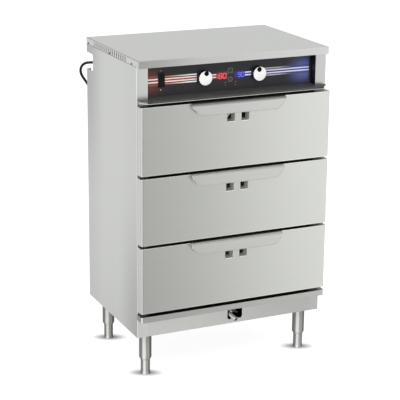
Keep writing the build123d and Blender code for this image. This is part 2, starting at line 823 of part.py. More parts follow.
def make_rocker():
    """The rocker of the power switch on its two pins, tilted as it rests."""
    pivot = overlay_front + rocker_pivot_depth
    reach = rocker_pivot_depth + rocker_proud
    half = rocker_height / 2
    back_half = half - rocker_back_inset
    profile = [(-reach, half), (-reach + rocker_hollow, 0), (-reach, -half), (rocker_back, -back_half),
               (rocker_back, back_half)]
    seat = Plane((rocker_x, behind(pivot), rocker_z), x_dir=(0, 1, 0), z_dir=(1, 0, 0))
    with BuildPart() as rocker:
        with BuildSketch(seat):
            Polygon(*profile, rotation=-rocker_tilt, align=None)
        extrude(amount=rocker_width / 2, both=True)
        with Locations(seat):
            Cylinder(rocker_pin_radius, rocker_width + 2 * (rocker_slack + rocker_pin_reach))
    write(rocker.part, "rocker")


def make_leg_tubes():
    """The four legs: tube, cone and threaded collar, with the stud and nut that hold the base pan."""
    with BuildPart() as leg_tubes:
        for x, depth in leg_places:
            with BuildSketch(Plane((x, behind(depth), 0), x_dir=(1, 0, 0), z_dir=(0, -1, 0))) as profile:
                with BuildLine():
                    Polyline((stem_radius + stem_clearance, leg_cone_bottom), (leg_cone_radius, leg_cone_bottom),
                             (leg_radius, leg_cone_top), (leg_radius, leg_height), (stem_radius, leg_height),
                             (stem_radius, stud_top), (0, stud_top), (0, leg_height - leg_top_plate),
                             (leg_radius - leg_wall, leg_height - leg_top_plate),
                             (leg_radius - leg_wall, collar_top),
                             (stem_radius + stem_clearance, collar_top), close=True)
                make_face()
            revolve(profile.sketch, axis=Axis((x, behind(depth), 0), (0, 0, 1)), mode=Mode.ADD)
            with BuildSketch(Plane.XY.offset(leg_height + sheet)) as nut:
                with Locations((x, behind(depth))):
                    RegularPolygon(nut_radius, 6)
                    Circle(stem_radius, mode=Mode.SUBTRACT)
            extrude(nut.sketch, amount=nut_height)
    write(leg_tubes.part, "leg_tubes")


def make_foot(x, depth, node):
    """A levelling foot with its stem, which screws in and out of the leg."""
    seat = leg_cone_bottom - foot_seat_gap
    with BuildPart() as foot:
        with BuildSketch(Plane((x, behind(depth), 0), x_dir=(1, 0, 0), z_dir=(0, -1, 0))):
            with BuildLine():
                Polyline((0, 0), (foot_radius + foot_flare, 0), (foot_radius + foot_flare, foot_flare_top),
                         (foot_radius, foot_shoulder), (foot_radius, seat), (stem_radius, seat), (stem_radius, stem_top), (0, stem_top),
                         close=True)
            make_face()
        revolve(axis=Axis((x, behind(depth), 0), (0, 0, 1)))
    write(foot.part, node)


def make_cover_screws():
    """The pan-head screws along the sides of the top cover."""
    z = cabinet_height - screw_below_top
    with BuildPart() as cover_screws:
        for side in (-1, 1):
            for depth in screw_places:
                head = Plane((side * half_width, behind(depth), z), z_dir=(side, 0, 0))
                with BuildSketch(head):
                    Circle(screw_head_radius)
                extrude(amount=screw_head_height, taper=20)
                with BuildSketch(head):
                    Circle(screw_shank_radius)
                extrude(amount=-screw_length)
    write(cover_screws.part, "cover_screws")


def front_box(half, y, z, radius, mode=Mode.ADD):
    """A block across the front whose two front vertical edges are rounded."""
    with BuildSketch(Plane.XY.offset(z[0])) as outline:
        with Locations((0, behind((y[0] + y[1]) / 2))):
            Rectangle(2 * half, y[1] - y[0])
        fillet(outline.vertices().group_by(Axis.Y)[0], radius)
    extrude(outline.sketch, amount=z[1] - z[0], mode=mode)


def vent_places(bottom):
    """The two vent windows of a drawer, each as left, right, bottom and top."""
    top = bottom + drawer_height - window_drop
    half = window_size / 2
    return [(side * window_spacing / 2 - half, side * window_spacing / 2 + half, top - window_size, top)
            for side in (-1, 1)]


def make_drawer_front(level, bottom):
    """The outer skin of a drawer front, folded back on all four sides, with two vent windows."""
    top = bottom + drawer_height
    with BuildPart() as drawer_front:
        front_box(half_width, (-front_proud, drawer_back - sheet), (bottom, top), front_corner)
        rims = drawer_front.edges().group_by(Axis.Z)
        bends = (rims[0] + rims[-1]).filter_by(lambda edge: edge.center().Y < behind(drawer_back - 2 * sheet))
        fillet(bends, front_bend)
        front_box(half_width - sheet, (-front_proud + sheet, 0), (bottom + sheet, top - sheet),
                  front_corner - sheet, Mode.SUBTRACT)
        for place in vent_places(bottom):
            window(place, (-front_proud - sheet, -front_proud + 2 * sheet))
    write(drawer_front.part, f"{level}_drawer_front")


def damper_outline(bottom, opening):
    """X and Z corners of a vent damper: a strip whose leading end is cut at 45 degrees."""
    place = vent_places(bottom)[0]
    middle = (place[2] + place[3]) / 2
    low, high = middle - damper_height / 2, middle + damper_height / 2
    tip = place[0] - damper_tip_gap + opening
    return [(tip - damper_height - damper_length, low), (tip - damper_height, low), (tip, high),
            (tip - damper_height - damper_length, high)]


def make_vent_damper(level, bottom):
    """The sliding strip that shuts the two vent windows from behind."""
    front = -front_proud + sheet + damper_slack
    outline = outline_prism(damper_outline(bottom, damper_rest_opening[level]),
                            (front, front + damper_thick), [])
    with BuildPart() as vent_damper:
        add(outline)
    write(vent_damper.part, f"{level}_vent_damper")


def make_drawer_liner(level, bottom):
    """The insulated inner half of a drawer front, with the damper's pocket and the vent passages."""
    front = -front_proud + sheet
    left, _, tip, _ = damper_outline(bottom, 0.0)
    with BuildPart() as drawer_liner:
        front_box(half_width - sheet, (front, drawer_back), (bottom + sheet, bottom + drawer_height - sheet),
                  front_corner)
        for place in vent_places(bottom):
            window(place, (front - sheet, drawer_back + sheet), margin=window_margin)
        block((left[0] - damper_slack, tip[0] + damper_travel + damper_slack),
              (front - sheet, front + damper_thick + 2 * damper_slack),
              (left[1] - damper_slack, tip[1] + damper_slack), Mode.SUBTRACT)
    write(drawer_liner.part, f"{level}_drawer_liner")


def foot_of(bottom):
    """Height of a handle's lower edge."""
    return bottom + drawer_height - handle_drop


def handle_bow(bottom, inset, foot):
    """The handle's outside, or its hollow when inset by the sheet: a bow with tapered sides."""
    top = bottom + drawer_height + handle_sheet - inset
    face, front = behind(-front_proud), behind(-front_proud - handle_proud) + inset
    roll = handle_roll - inset
    half, half_foot = handle_half_width - inset, handle_foot_half_width - inset
    with BuildPart(mode=Mode.PRIVATE) as bow:
        with BuildSketch(Plane.YZ.offset(-half)):
            with BuildLine():
                Line((face + foot, top), (front + roll, top))
                RadiusArc((front + roll, top), (front, top - roll), -roll)
                Polyline((front, top - roll), (front, foot_of(bottom) - inset), (face + foot, foot_of(bottom) - inset),
                         (face + foot, top))
            make_face()
        extrude(amount=2 * half)
        shoulder = bottom + drawer_height - handle_shoulder_drop
        low = foot_of(bottom) - inset
        corners = [(-half_foot, low), (half_foot, low), (half, shoulder), (-half, shoulder)]
        outline = outline_prism(
            [*corners[:3], (half, top + handle_sheet), (-half, top + handle_sheet), corners[3]],
            (-front_proud - handle_proud - handle_sheet, 0),
            [(corners[0], handle_corner), (corners[1], handle_corner),
             (corners[2], handle_shoulder), (corners[3], handle_shoulder)])
        add(outline, mode=Mode.INTERSECT)
    return bow.part


def make_drawer_handle(level, bottom):
    """A pressed pull across the top of a drawer front, hollow and open at its lower edge."""
    top = bottom + drawer_height
    front = behind(-front_proud - handle_proud)
    outer = handle_bow(bottom, 0.0, 0.0)
    hollow = handle_bow(bottom, handle_sheet, 1.0)
    with BuildPart() as drawer_handle:
        add(outer)
        rim = drawer_handle.faces().filter_by(Plane.XZ).sort_by(Axis.Y)[0].edges()
        rim = rim.filter_by(lambda edge: abs(edge.center().X) > handle_foot_half_width - handle_corner)
        fillet(rim, handle_edge_round)
        add(hollow, mode=Mode.SUBTRACT)
        block((-handle_half_width, handle_half_width), (-front_proud, -front_proud + handle_flange),
              (top, top + handle_sheet))
    write(drawer_handle.part, f"{level}_drawer_handle")


def make_drawer_carrier(level, bottom):
    """The frame behind a drawer front that carries the pan and the inner slide members."""
    rim = bottom + rim_above_drawer_bottom
    half_long = pan_length / 2 - pan_rim + pan_clearance
    half_wide = pan_width / 2 - pan_rim + pan_clearance
    half_height = rail_height / 2 - 2 * (rail_wall + rail_clearance)
    web = carrier_half_width - frame_sheet
    middle = slide_height(bottom)
    with BuildPart() as drawer_carrier:
        block((-carrier_half_width, carrier_half_width), (drawer_back, carrier_back), (rim - frame_sheet, rim))
        block((-half_long, half_long), (pan_centre - half_wide, pan_centre + half_wide),
              (rim - 2 * frame_sheet, rim + frame_sheet), Mode.SUBTRACT)
        for y in ((drawer_back, drawer_back + frame_sheet), (carrier_back - frame_sheet, carrier_back)):
            block((-carrier_half_width, carrier_half_width), y, (rim - carrier_web, rim))
        for side in (-1, 1):
            block(sorted((side * web, side * carrier_half_width)), (drawer_back, carrier_back),
                  (middle - half_height, rim))
            for up in (-1, 1):
                edge = sorted((middle + up * half_height, middle + up * (half_height - rail_wall)))
                block(sorted((side * carrier_half_width, side * (middle_web_x - rail_wall - rail_clearance))),
                      (rail_start, carrier_back), edge)
    write(drawer_carrier.part, f"{level}_drawer_carrier")


def make_middle_rails(level, bottom):
    """The pair of middle slide members, which follow the drawer at half its travel."""
    reach = carrier_half_width + 3 * rail_clearance
    with BuildPart() as middle_rails:
        for side in (-1, 1):
            channel(side, middle_web_x, reach, rail_height / 2 - rail_wall - rail_clearance,
                    (rail_start, rail_start + rail_length), slide_height(bottom))
    write(middle_rails.part, f"{level}_middle_rails")


def pan_body(rim, inset, floor, mode):
    """The tapered bowl of a pan, or its inside when inset by the wall."""
    sections = []
    for height, shrink in ((rim, 0.0), (rim - pan_depth + floor, pan_taper)):
        with BuildSketch(Plane.XY.offset(height)) as section:
            with Locations((0, behind(pan_centre))):
                RectangleRounded(pan_length - 2 * (pan_rim + inset + shrink),
                                 pan_width - 2 * (pan_rim + inset + shrink), pan_corner - inset)
        sections.append(section.sketch)
    loft(sections, mode=mode)


def make_food_pan(level, bottom):
    """The removable pan that hangs in a drawer by its rim."""
    rim = bottom + rim_above_drawer_bottom
    with BuildPart() as food_pan:
        with BuildSketch(Plane.XY.offset(rim)):
            with Locations((0, behind(pan_centre))):
                RectangleRounded(pan_length, pan_width, pan_corner)
        extrude(amount=pan_wall)
        pan_body(rim, 0.0, 0.0, Mode.ADD)
        pan_body(rim, pan_wall, pan_wall, Mode.SUBTRACT)
        with BuildSketch(Plane.XY.offset(rim)):
            with Locations((0, behind(pan_centre))):
                RectangleRounded(pan_length - 2 * (pan_rim + pan_wall), pan_width - 2 * (pan_rim + pan_wall),
                                 pan_corner - pan_wall)
        extrude(amount=pan_wall, mode=Mode.SUBTRACT)
    write(food_pan.part, f"{level}_food_pan")


def make_cord_gland():
    """The cord's gland in the back panel: flange, dome, thread and the nut inside."""
    x, z = gland_place
    back = back_face + sheet
    dome = gland_thread_radius + gland_dome_step
    rear = back + gland_flange
    with BuildPart() as cord_gland:
        rod(x, z, (back_face - gland_thread, back), gland_thread_radius)
        rod(x, z, (back, rear), gland_flange_radius)
        with Locations(Plane((x, behind(rear), z), z_dir=(0, 1, 0))):
            Cone(dome, cord_diameter / 2 + gland_lip, gland_length - gland_flange,
                 align=(Align.CENTER, Align.CENTER, Align.MIN))
        with BuildSketch(Plane.XZ.offset(-behind(back_face))):
            with Locations((x, z)):
                RegularPolygon(gland_flange_radius, 6)
                Circle(gland_thread_radius, mode=Mode.SUBTRACT)
        extrude(amount=gland_nut)
    write(cord_gland.part, "cord_gland")


def make_power_cord():
    """The free stretch of the cord, from the gland down behind the cabinet and along the floor."""
    points = [Vector(*point) for point in cord_route]
    points[0] = Vector(points[0].X, behind(back_face + sheet + gland_length), points[0].Z)
    radii = []
    share = 0.45  # of the shorter run that a bend takes up
    for before, corner, after in zip(points, points[1:], points[2:]):
        turn = (corner - before).get_angle(after - corner)
        shorter = min((corner - before).length, (after - corner).length)
        radii.append(share * shorter / math.tan(math.radians(turn / 2)))
    with BuildPart() as power_cord:
        with BuildLine() as route:
            FilletPolyline(*points, radius=radii)
        with BuildSketch(Plane(origin=points[0], z_dir=points[1] - points[0])):
            Circle(cord_diameter / 2)
        sweep(path=route.line)
    length = route.wire().length
    print("cord radii", [round(radius) for radius in radii])
    print("cord length", round(length, 1), "volume over section times length",
          round(power_cord.part.volume / (math.pi * cord_diameter ** 2 / 4 * length), 5))
    write(power_cord.part, "power_cord")


def coil_state(turned, centre):
    """Place and direction of the coiled cord after the given angle, in radians."""
    half = turned / math.pi
    reversal, last = coil_half_turns / 2, coil_half_turns - 1
    inner = coil_radius - coil_pitch * reversal / 2
    if half <= reversal:
        radius, growth = coil_radius - coil_pitch * half / 2, -coil_pitch / (2 * math.pi)
    elif half <= last:
        radius, growth = inner + coil_pitch * (half - reversal) / 2, coil_pitch / (2 * math.pi)
    else:
        step = half - last
        start = inner + coil_pitch * (last - reversal) / 2
        radius = start + (coil_end_radius - start) * step ** 2 * (3 - 2 * step)
        growth = (coil_end_radius - start) * 6 * step * (1 - step) / math.pi
    rise = min(max(half - reversal + 0.5, 0.0), 1.0)
    height = cord_route[-1][2] + coil_layer * rise ** 2 * (3 - 2 * rise)
    climb = coil_layer * 6 * rise * (1 - rise) / math.pi
    outward = Vector(math.sin(turned), -math.cos(turned), 0)
    along = Vector(math.cos(turned), math.sin(turned), 0)
    place = Vector(centre.X, centre.Y, height) + outward * radius
    direction = (along * radius + outward * growth + Vector(0, 0, climb)).normalized()
    return place, direction


def biarc(start, start_way, end, end_way):
    """Draws two arcs that leave one point and reach another in the given directions."""
    chord = end - start
    ways = start_way + end_way
    bend = 2 * (1 - start_way.dot(end_way))
    reach = (math.sqrt(chord.dot(ways) ** 2 + bend * chord.dot(chord)) - chord.dot(ways)) / bend
    first, second = start + start_way * reach, end - end_way * reach
    middle = (first + second) / 2
    TangentArc(start, middle, tangent=start_way)
    TangentArc(middle, end, tangent=(second - first).normalized())


def make_cord_coil():
    """Winds the rest of the cord in two layers on the floor behind the cabinet and gives its end."""
    start = Vector(*cord_route[-1])
    first = start + Vector(cord_diameter, 0, 0)
    centre = first + Vector(0, coil_radius, 0)
    quarter = math.pi / 2
    states = [coil_state(quarter * n, centre) for n in range(2 * coil_half_turns + 1)]
    states[0] = (first, Vector(1, 0, 0))
    end = states[-1][0] + states[-1][1] * cord_diameter
    with BuildPart() as cord_coil:
        with BuildLine() as route:
            Line(start, first)
            for (place, way), (next_place, next_way) in zip(states, states[1:]):
                biarc(place, way, next_place, next_way)
            Line(states[-1][0], end)
        with BuildSketch(Plane(origin=start, z_dir=(1, 0, 0))):
            Circle(cord_diameter / 2)
        sweep(path=route.line)
    centre_line = route.wire()
    length = centre_line.length
    samples = 720
    points = centre_line.positions([n / samples for n in range(samples + 1)])
    apart = 3 * cord_diameter
    least = min(
        (points[n] - points[m]).length
        for n in range(samples + 1)
        for m in range(n)
        if (n - m) * length / samples > apart
    )
    print("coil length", round(length, 1), "least gap to itself", round(least - cord_diameter, 2))
    write(cord_coil.part, "cord_coil")
    return end


def make_power_plug(end):
    """The moulded plug at the end of the coil, lying on the floor beside it."""
    def along(start, finish, radius):
        with BuildSketch(Plane((end.X + start, end.Y, end.Z), x_dir=(0, 1, 0), z_dir=(1, 0, 0))) as section:
            Circle(radius)
        extrude(section.sketch, amount=finish - start)

    with BuildPart() as power_plug:
        along(0, plug_neck, cord_diameter / 2 + plug_neck_wall)
        along(plug_neck, plug_grip, plug_radius - plug_step)
        along(plug_grip, plug_length, plug_radius)
        fillet(power_plug.faces().sort_by(Axis.X)[-1].edges(), plug_round)
        face = end.X + plug_length
        for side in (-1, 1):
            with Locations((face + blade_length / 2, end.Y + side * blade_offset, end.Z)):
                Box(blade_length, blade_thick, blade_width)
        with BuildSketch(Plane((face, end.Y, end.Z - earth_pin_drop), z_dir=(1, 0, 0))):
            Circle(earth_pin_radius)
        extrude(amount=earth_pin_length)
    write(power_plug.part, "power_plug")


make_top_cover()
make_side_panel(-1, "side_panel_left")
make_side_panel(1, "side_panel_right")
make_back_panel()
make_base_pan()
make_front_skirt()
make_bottom_trim()
make_control_plate()
make_control_overlay()
make_inner_liner()
make_insulation()
make_cabinet_rails()
make_cross_rails()
make_drawer_gaskets()
make_heating_elements()
make_water_tank()
make_drain_valve()
make_drain_lever()
make_temperature_probe()
make_control_board()
make_power_supply()
make_knob_encoders()
make_display_modules()
make_rocker_housing()
make_rocker()
make_leg_tubes()
make_cover_screws()
make_cord_gland()
for knob_name, knob_x in knob_places.items():
    make_knob(knob_name, knob_x)
for key_name, key_z in key_heights.items():
    make_key(key_name, key_z)
for (foot_x, foot_depth), foot_node in zip(leg_places, ("foot_fl", "foot_fr", "foot_bl", "foot_br")):
    make_foot(foot_x, foot_depth, foot_node)
for drawer_level, drawer_bottom in zip(drawer_levels, drawer_bottoms):
    make_drawer_front(drawer_level, drawer_bottom)
    make_drawer_liner(drawer_level, drawer_bottom)
    make_drawer_handle(drawer_level, drawer_bottom)
    make_drawer_carrier(drawer_level, drawer_bottom)
    make_food_pan(drawer_level, drawer_bottom)
    make_vent_damper(drawer_level, drawer_bottom)
    make_middle_rails(drawer_level, drawer_bottom)
make_power_cord()
make_power_plug(make_cord_coil())
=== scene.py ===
"""Looks of a three-drawer heated holding cabinet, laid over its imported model.

X runs across the front, Y from front to back and Z up. Places are written in millimetres, and depths
are measured behind the front face of the stiles, as in the part's own drawing.
"""

import json
import logging
import math
from dataclasses import dataclass
from enum import Enum
from typing import Optional, Sequence, Union

import bmesh
import bpy
from mathutils import Matrix, Quaternion, Vector

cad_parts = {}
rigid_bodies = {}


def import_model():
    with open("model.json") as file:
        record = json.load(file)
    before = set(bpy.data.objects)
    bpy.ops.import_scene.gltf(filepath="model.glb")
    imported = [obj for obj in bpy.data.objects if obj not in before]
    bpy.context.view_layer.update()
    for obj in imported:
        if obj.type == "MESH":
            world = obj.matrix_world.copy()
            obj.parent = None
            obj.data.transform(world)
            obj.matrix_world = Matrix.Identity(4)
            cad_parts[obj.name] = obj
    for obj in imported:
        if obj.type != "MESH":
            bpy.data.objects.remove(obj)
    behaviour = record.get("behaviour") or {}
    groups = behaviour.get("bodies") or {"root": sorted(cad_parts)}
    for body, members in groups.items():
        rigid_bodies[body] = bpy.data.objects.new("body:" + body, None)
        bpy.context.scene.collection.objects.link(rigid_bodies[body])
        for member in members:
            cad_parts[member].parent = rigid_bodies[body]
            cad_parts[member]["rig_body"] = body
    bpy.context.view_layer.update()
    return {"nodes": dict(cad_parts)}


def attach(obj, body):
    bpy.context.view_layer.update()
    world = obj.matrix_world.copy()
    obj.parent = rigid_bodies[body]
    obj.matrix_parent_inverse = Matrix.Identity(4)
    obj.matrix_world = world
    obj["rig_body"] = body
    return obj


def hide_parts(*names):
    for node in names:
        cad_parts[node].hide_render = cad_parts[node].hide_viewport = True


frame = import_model()
log = logging.getLogger("cabinet")

MM = 0.001
STILE_FACE = -203.8
DRAWER_LEVELS = ("bottom", "middle", "top")
FIRST_DRAWER = 251.8
DRAWER_HEIGHT = 231.0
DRAWER_PITCH = 239.5
DRAWER_PROUD = 37.4
HANDLE_PROUD = 17.0
PANEL_DEPTH = 34.0
HALF_WIDTH = 350.0
CABINET_DEPTH = 462.0
SIDES = ((-1, "left"), (1, "right"))
PHOTO_RIGHT = (0.907, -0.420)
SHARP_ANGLE = math.radians(40.0)

Colour = tuple[float, float, float]
Point = tuple[float, float, float]
Span = tuple[float, float]


def behind(depth: float) -> float:
    """Y in millimetres of a depth behind the stiles' front face."""
    return STILE_FACE + depth


class Value:
    """A shader socket on which Python's arithmetic adds Math nodes."""

    def __init__(self, book: "ShaderBook", socket: bpy.types.NodeSocket) -> None:
        """Keeps the socket and the book that its tree belongs to."""
        self.book = book
        self.socket = socket

    def __add__(self, other: "Term") -> "Value":
        """Sum."""
        return self.book.maths("ADD", self, other)

    __radd__ = __add__

    def __mul__(self, other: "Term") -> "Value":
        """Product."""
        return self.book.maths("MULTIPLY", self, other)

    __rmul__ = __mul__

    def __sub__(self, other: "Term") -> "Value":
        """Difference."""
        return self.book.maths("SUBTRACT", self, other)

    def __rsub__(self, other: "Term") -> "Value":
        """Difference from a number."""
        return self.book.maths("SUBTRACT", other, self)

    def __truediv__(self, other: "Term") -> "Value":
        """Quotient."""
        return self.book.maths("DIVIDE", self, other)

    def __rtruediv__(self, other: "Term") -> "Value":
        """Quotient of a number."""
        return self.book.maths("DIVIDE", other, self)

    def __mod__(self, other: "Term") -> "Value":
        """Remainder."""
        return self.book.maths("MODULO", self, other)

    def __rmod__(self, other: "Term") -> "Value":
        """Remainder of a number."""
        return self.book.maths("MODULO", other, self)

    def __abs__(self) -> "Value":
        """Size without its sign."""
        return self.book.maths("ABSOLUTE", self)

    def nearest(self) -> "Value":
        """The nearest whole number."""
        return self.book.maths("ROUND", self)

    def root(self) -> "Value":
        """Square root."""
        return self.book.maths("SQRT", self)

    def rise(self, low: float, high: float) -> "Value":
        """Goes smoothly from 0 at the low limit to 1 at the high one."""
        return self.book.node("ShaderNodeMapRange", {"interpolation_type": "SMOOTHSTEP"},
                              {"Value": self, "From Min": low, "From Max": high})

    def fall(self, low: float, high: float) -> "Value":
        """Goes smoothly from 1 at the low limit to 0 at the high one."""
        return 1 - self.rise(low, high)

    def band(self, low: float, high: float, soft: float) -> "Value":
        """Is 1 between two limits and falls to 0 over the soft width outside them."""
        return self.rise(low - soft, low) * self.fall(high, high + soft)


Term = Union[Value, float]


class ShaderBook:
    """Adds nodes to one tree and hands their outputs back as values."""

    def __init__(self, tree: bpy.types.NodeTree, skin: Optional[bpy.types.Node] = None) -> None:
        """Takes the tree that the nodes go into and the Principled shader that a finish paints."""
        self.tree = tree
        self.skin = skin

    def node(self, kind: str, settings: Optional[dict] = None, inputs: Optional[dict] = None,
             output: Union[int, str] = 0) -> Value:
        """Adds one node.

        Args:
            kind: the node's type.
            settings: properties set first; "stops" holds a ramp's positions and colours.
            inputs: a value or a link for each socket, by name or number.
            output: name or number of the output to hand back.

        Returns:
            The chosen output.
        """
        made = self.tree.nodes.new(kind)
        for key, setting in (settings or {}).items():
            if key == "stops":
                ramp = made.color_ramp
                for place, _ in setting[len(ramp.elements):]:
                    ramp.elements.new(place)
                for element, (place, colour) in zip(ramp.elements, setting):
                    element.position = place
                    element.color = colour
            else:
                setattr(made, key, setting)
        for key, term in (inputs or {}).items():
            if isinstance(term, Value):
                self.tree.links.new(term.socket, made.inputs[key])
            else:
                made.inputs[key].default_value = term
        return Value(self, made.outputs[output])

    def maths(self, operation: str, *terms: Term) -> Value:
        """One Math node on its terms."""
        return self.node("ShaderNodeMath", {"operation": operation}, dict(enumerate(terms)))

    def vector(self, operation: str, first: Union[Value, Point], second: Union[Value, Point]) -> Value:
        """One Vector Math node."""
        return self.node("ShaderNodeVectorMath", {"operation": operation}, {0: first, 1: second})

    def mix(self, factor: Term, first: Union[Value, Colour], second: Union[Value, Colour]) -> Value:
        """Goes from the first colour to the second."""
        first, second = (side if isinstance(side, Value) else (*side, 1.0) for side in (first, second))
        return self.node("ShaderNodeMix", {"data_type": "RGBA"}, {0: factor, 6: first, 7: second}, output=2)

    def tint(self, colour: Union[Value, Colour], strength: Value) -> Value:
        """A colour made lighter or darker by a value."""
        even = self.node("ShaderNodeCombineXYZ", {}, {n: strength for n in range(3)})
        return self.vector("MULTIPLY", colour, even)

    def place(self) -> Value:
        """The point on the piece, in the object's own metres."""
        return self.node("ShaderNodeTexCoord", output="Object")

    def split(self, vector: Value) -> tuple[Value, Value, Value]:
        """The three parts of a vector."""
        made = self.node("ShaderNodeSeparateXYZ", {}, {0: vector}).socket.node
        return tuple(Value(self, output) for output in made.outputs)

    def spot(self, place: Value) -> tuple[Value, Value, Value]:
        """A point's X, its depth behind the stiles and its Z, in millimetres."""
        x, y, z = (part / MM for part in self.split(place))
        return x, y - STILE_FACE, z

    def noise(self, at: Value, stretch: Union[Point, float], detail: float = 2.0) -> Value:
        """Noise from 0 to 1, with its own number of grains a metre along each axis."""
        grains = stretch if isinstance(stretch, tuple) else (stretch,) * 3
        return self.node("ShaderNodeTexNoise", {"noise_dimensions": "3D"},
                         {"Vector": self.vector("MULTIPLY", at, grains), "Scale": 1.0, "Detail": detail})

    def bump(self, height: Value, strength: float, distance: float) -> Value:
        """A normal disturbed by a height."""
        return self.node("ShaderNodeBump", {}, {"Strength": strength, "Distance": distance, "Height": height})

    def link(self, **sockets: Value) -> None:
        """Feeds values to the shader's sockets, whose names have underscores for spaces."""
        for name, value in sockets.items():
            self.tree.links.new(value.socket, self.skin.inputs[name.replace("_", " ")])

    def fix(self, **sockets: float) -> None:
        """Sets constants on the shader's sockets, whose names have underscores for spaces."""
        for name, value in sockets.items():
            self.skin.inputs[name.replace("_", " ")].default_value = value


def drawer_height(z: Value) -> Value:
    """Height above the bottom of the drawer that a place belongs to."""
    return (z - FIRST_DRAWER) % DRAWER_PITCH


class Grain(Enum):
    """The way the brushing runs, as grains a metre along X, Y and Z."""

    ALONG_X = (3.0, 900.0, 900.0)
    ALONG_Y = (900.0, 3.0, 900.0)
    ALONG_Z = (900.0, 900.0, 3.0)


@dataclass(frozen=True)
class Finish:
    """A named surface; each kind of finish paints its own Principled shader."""

    name: str

    def paint(self, book: ShaderBook) -> None:
        """Sets the shader up; each kind of finish has its own way."""
        raise NotImplementedError

    def material(self) -> bpy.types.Material:
        """Makes the finish's material the first time it is asked for.

        Returns:
            The material.
        """
        made = bpy.data.materials.get(self.name)
        if made is None:
            made = bpy.data.materials.new(self.name)
            made.use_nodes = True
            skin = next(node for node in made.node_tree.nodes if node.type == "BSDF_PRINCIPLED")
            self.paint(ShaderBook(made.node_tree, skin))
        return made


@dataclass(frozen=True)
class BrushedSteel(Finish):
    """Stainless sheet with a fine one-way brushing and a faint cloudiness."""

    grain: Grain = Grain.ALONG_X
    tone: Colour = (0.62, 0.62, 0.595)
    roughness: float = 0.30
    metal: float = 1.0
    # left and right: painted shade, the lightness at the sheet's left and right ends
    left: float = 1.0
    right: float = 1.0
    coarseness: float = 14.0
    cloud_grains: float = 5.0
    # Strength of the painted glow that lights the sheet up where its mask is set
    painted_glow_strength: float = 0.4

    def paint(self, book: ShaderBook) -> None:
        """Puts streaks into the colour, the gloss and a very shallow bump; the colour also carries painted
        light and shade.

        Args:
            book: the tree's book.
        """
        place = book.place()
        fine = book.noise(place, self.grain.value, 3.0)
        coarse = book.noise(place, tuple(grains / self.coarseness for grains in self.grain.value))
        cloud = book.noise(place, self.cloud_grains, 1.0)
        spot = book.spot(place)
        shade = (0.94 + fine * 0.06 + coarse * 0.04 + cloud * 0.02) * self.cast(*spot)
        book.fix(Metallic=self.metal)
        # A painted glow: emission lightens the sheet where the mask is set
        painted_glow_mask = self.painted_glow_mask(*spot)
        if painted_glow_mask is not None:
            book.fix(Emission_Strength=self.painted_glow_strength)
            book.link(Metallic=self.metal - painted_glow_mask, Emission_Color=book.tint(self.tone, painted_glow_mask))
        book.link(Base_Color=book.tint(self.tone, shade),
                  Roughness=self.roughness - 0.04 + fine * 0.06 + coarse * 0.03,
                  Normal=book.bump(fine, 0.05, 0.0002))

    def painted_glow_mask(self, x: Value, depth: Value, z: Value) -> Optional[Value]:
        """Where the sheet gets a painted glow and less mirror; nowhere on plain sheet."""
        return None

    def cast(self, x: Value, depth: Value, z: Value) -> Value:
        """Painted shade: plain sheet goes evenly from its left to its right level of lightness."""
        return self.left + x.rise(-HALF_WIDTH, HALF_WIDTH) * (self.right - self.left)


@dataclass(frozen=True)
class SideSteel(BrushedSteel):
    """The side panels, with painted light and shade: soft upright bands, a lighter stile on the front, and
    darker edges in the recess and under the cover.
    """

    rear: Span = (280.0, 462.0)
    rear_height: Span = (500.0, 1000.0)
    front: Span = (0.0, 190.0)
    front_height: Span = (180.0, 750.0)
    cover: Span = (1088.5, 1089.5)
    stile_edge: Span = (348.0, 349.2)
    stile_depth: Span = (2.0, 4.0)
    stile_foot: Span = (220.5, 222.5)
    recess_edge: Span = (310.8, 311.6)
    recess_depth: Span = (0.5, 2.0)
    middle: Span = (-200.0, 200.0)

    def cast(self, x: Value, depth: Value, z: Value) -> Value:
        """Painted shade and light: darker at the rear, lightest past the middle, darker again low at the
        front.

        Args:
            x: place across the front.
            depth: depth behind the stiles.
            z: height.

        Returns:
            The lightness.
        """
        rear = depth.rise(*self.rear) * (0.10 + z.rise(*self.rear_height) * 0.22)
        front = depth.fall(*self.front)
        low = front * z.fall(*self.front_height)
        stile = abs(x).fall(*self.stile_edge) * depth.fall(*self.stile_depth)
        foot = z.fall(*self.stile_foot)
        turned = abs(x).fall(*self.recess_edge) * depth.rise(*self.recess_depth)
        flat = (1 - rear - low * 0.22 - front * 0.04) * (1 - z.rise(*self.cover) * 0.85)
        face = 1.24 + foot * 0.16 - x.rise(*self.middle) * (0.34 + foot * 0.26)
        return (flat * (1 - stile) + stile * face) * (1 - turned * 0.9)


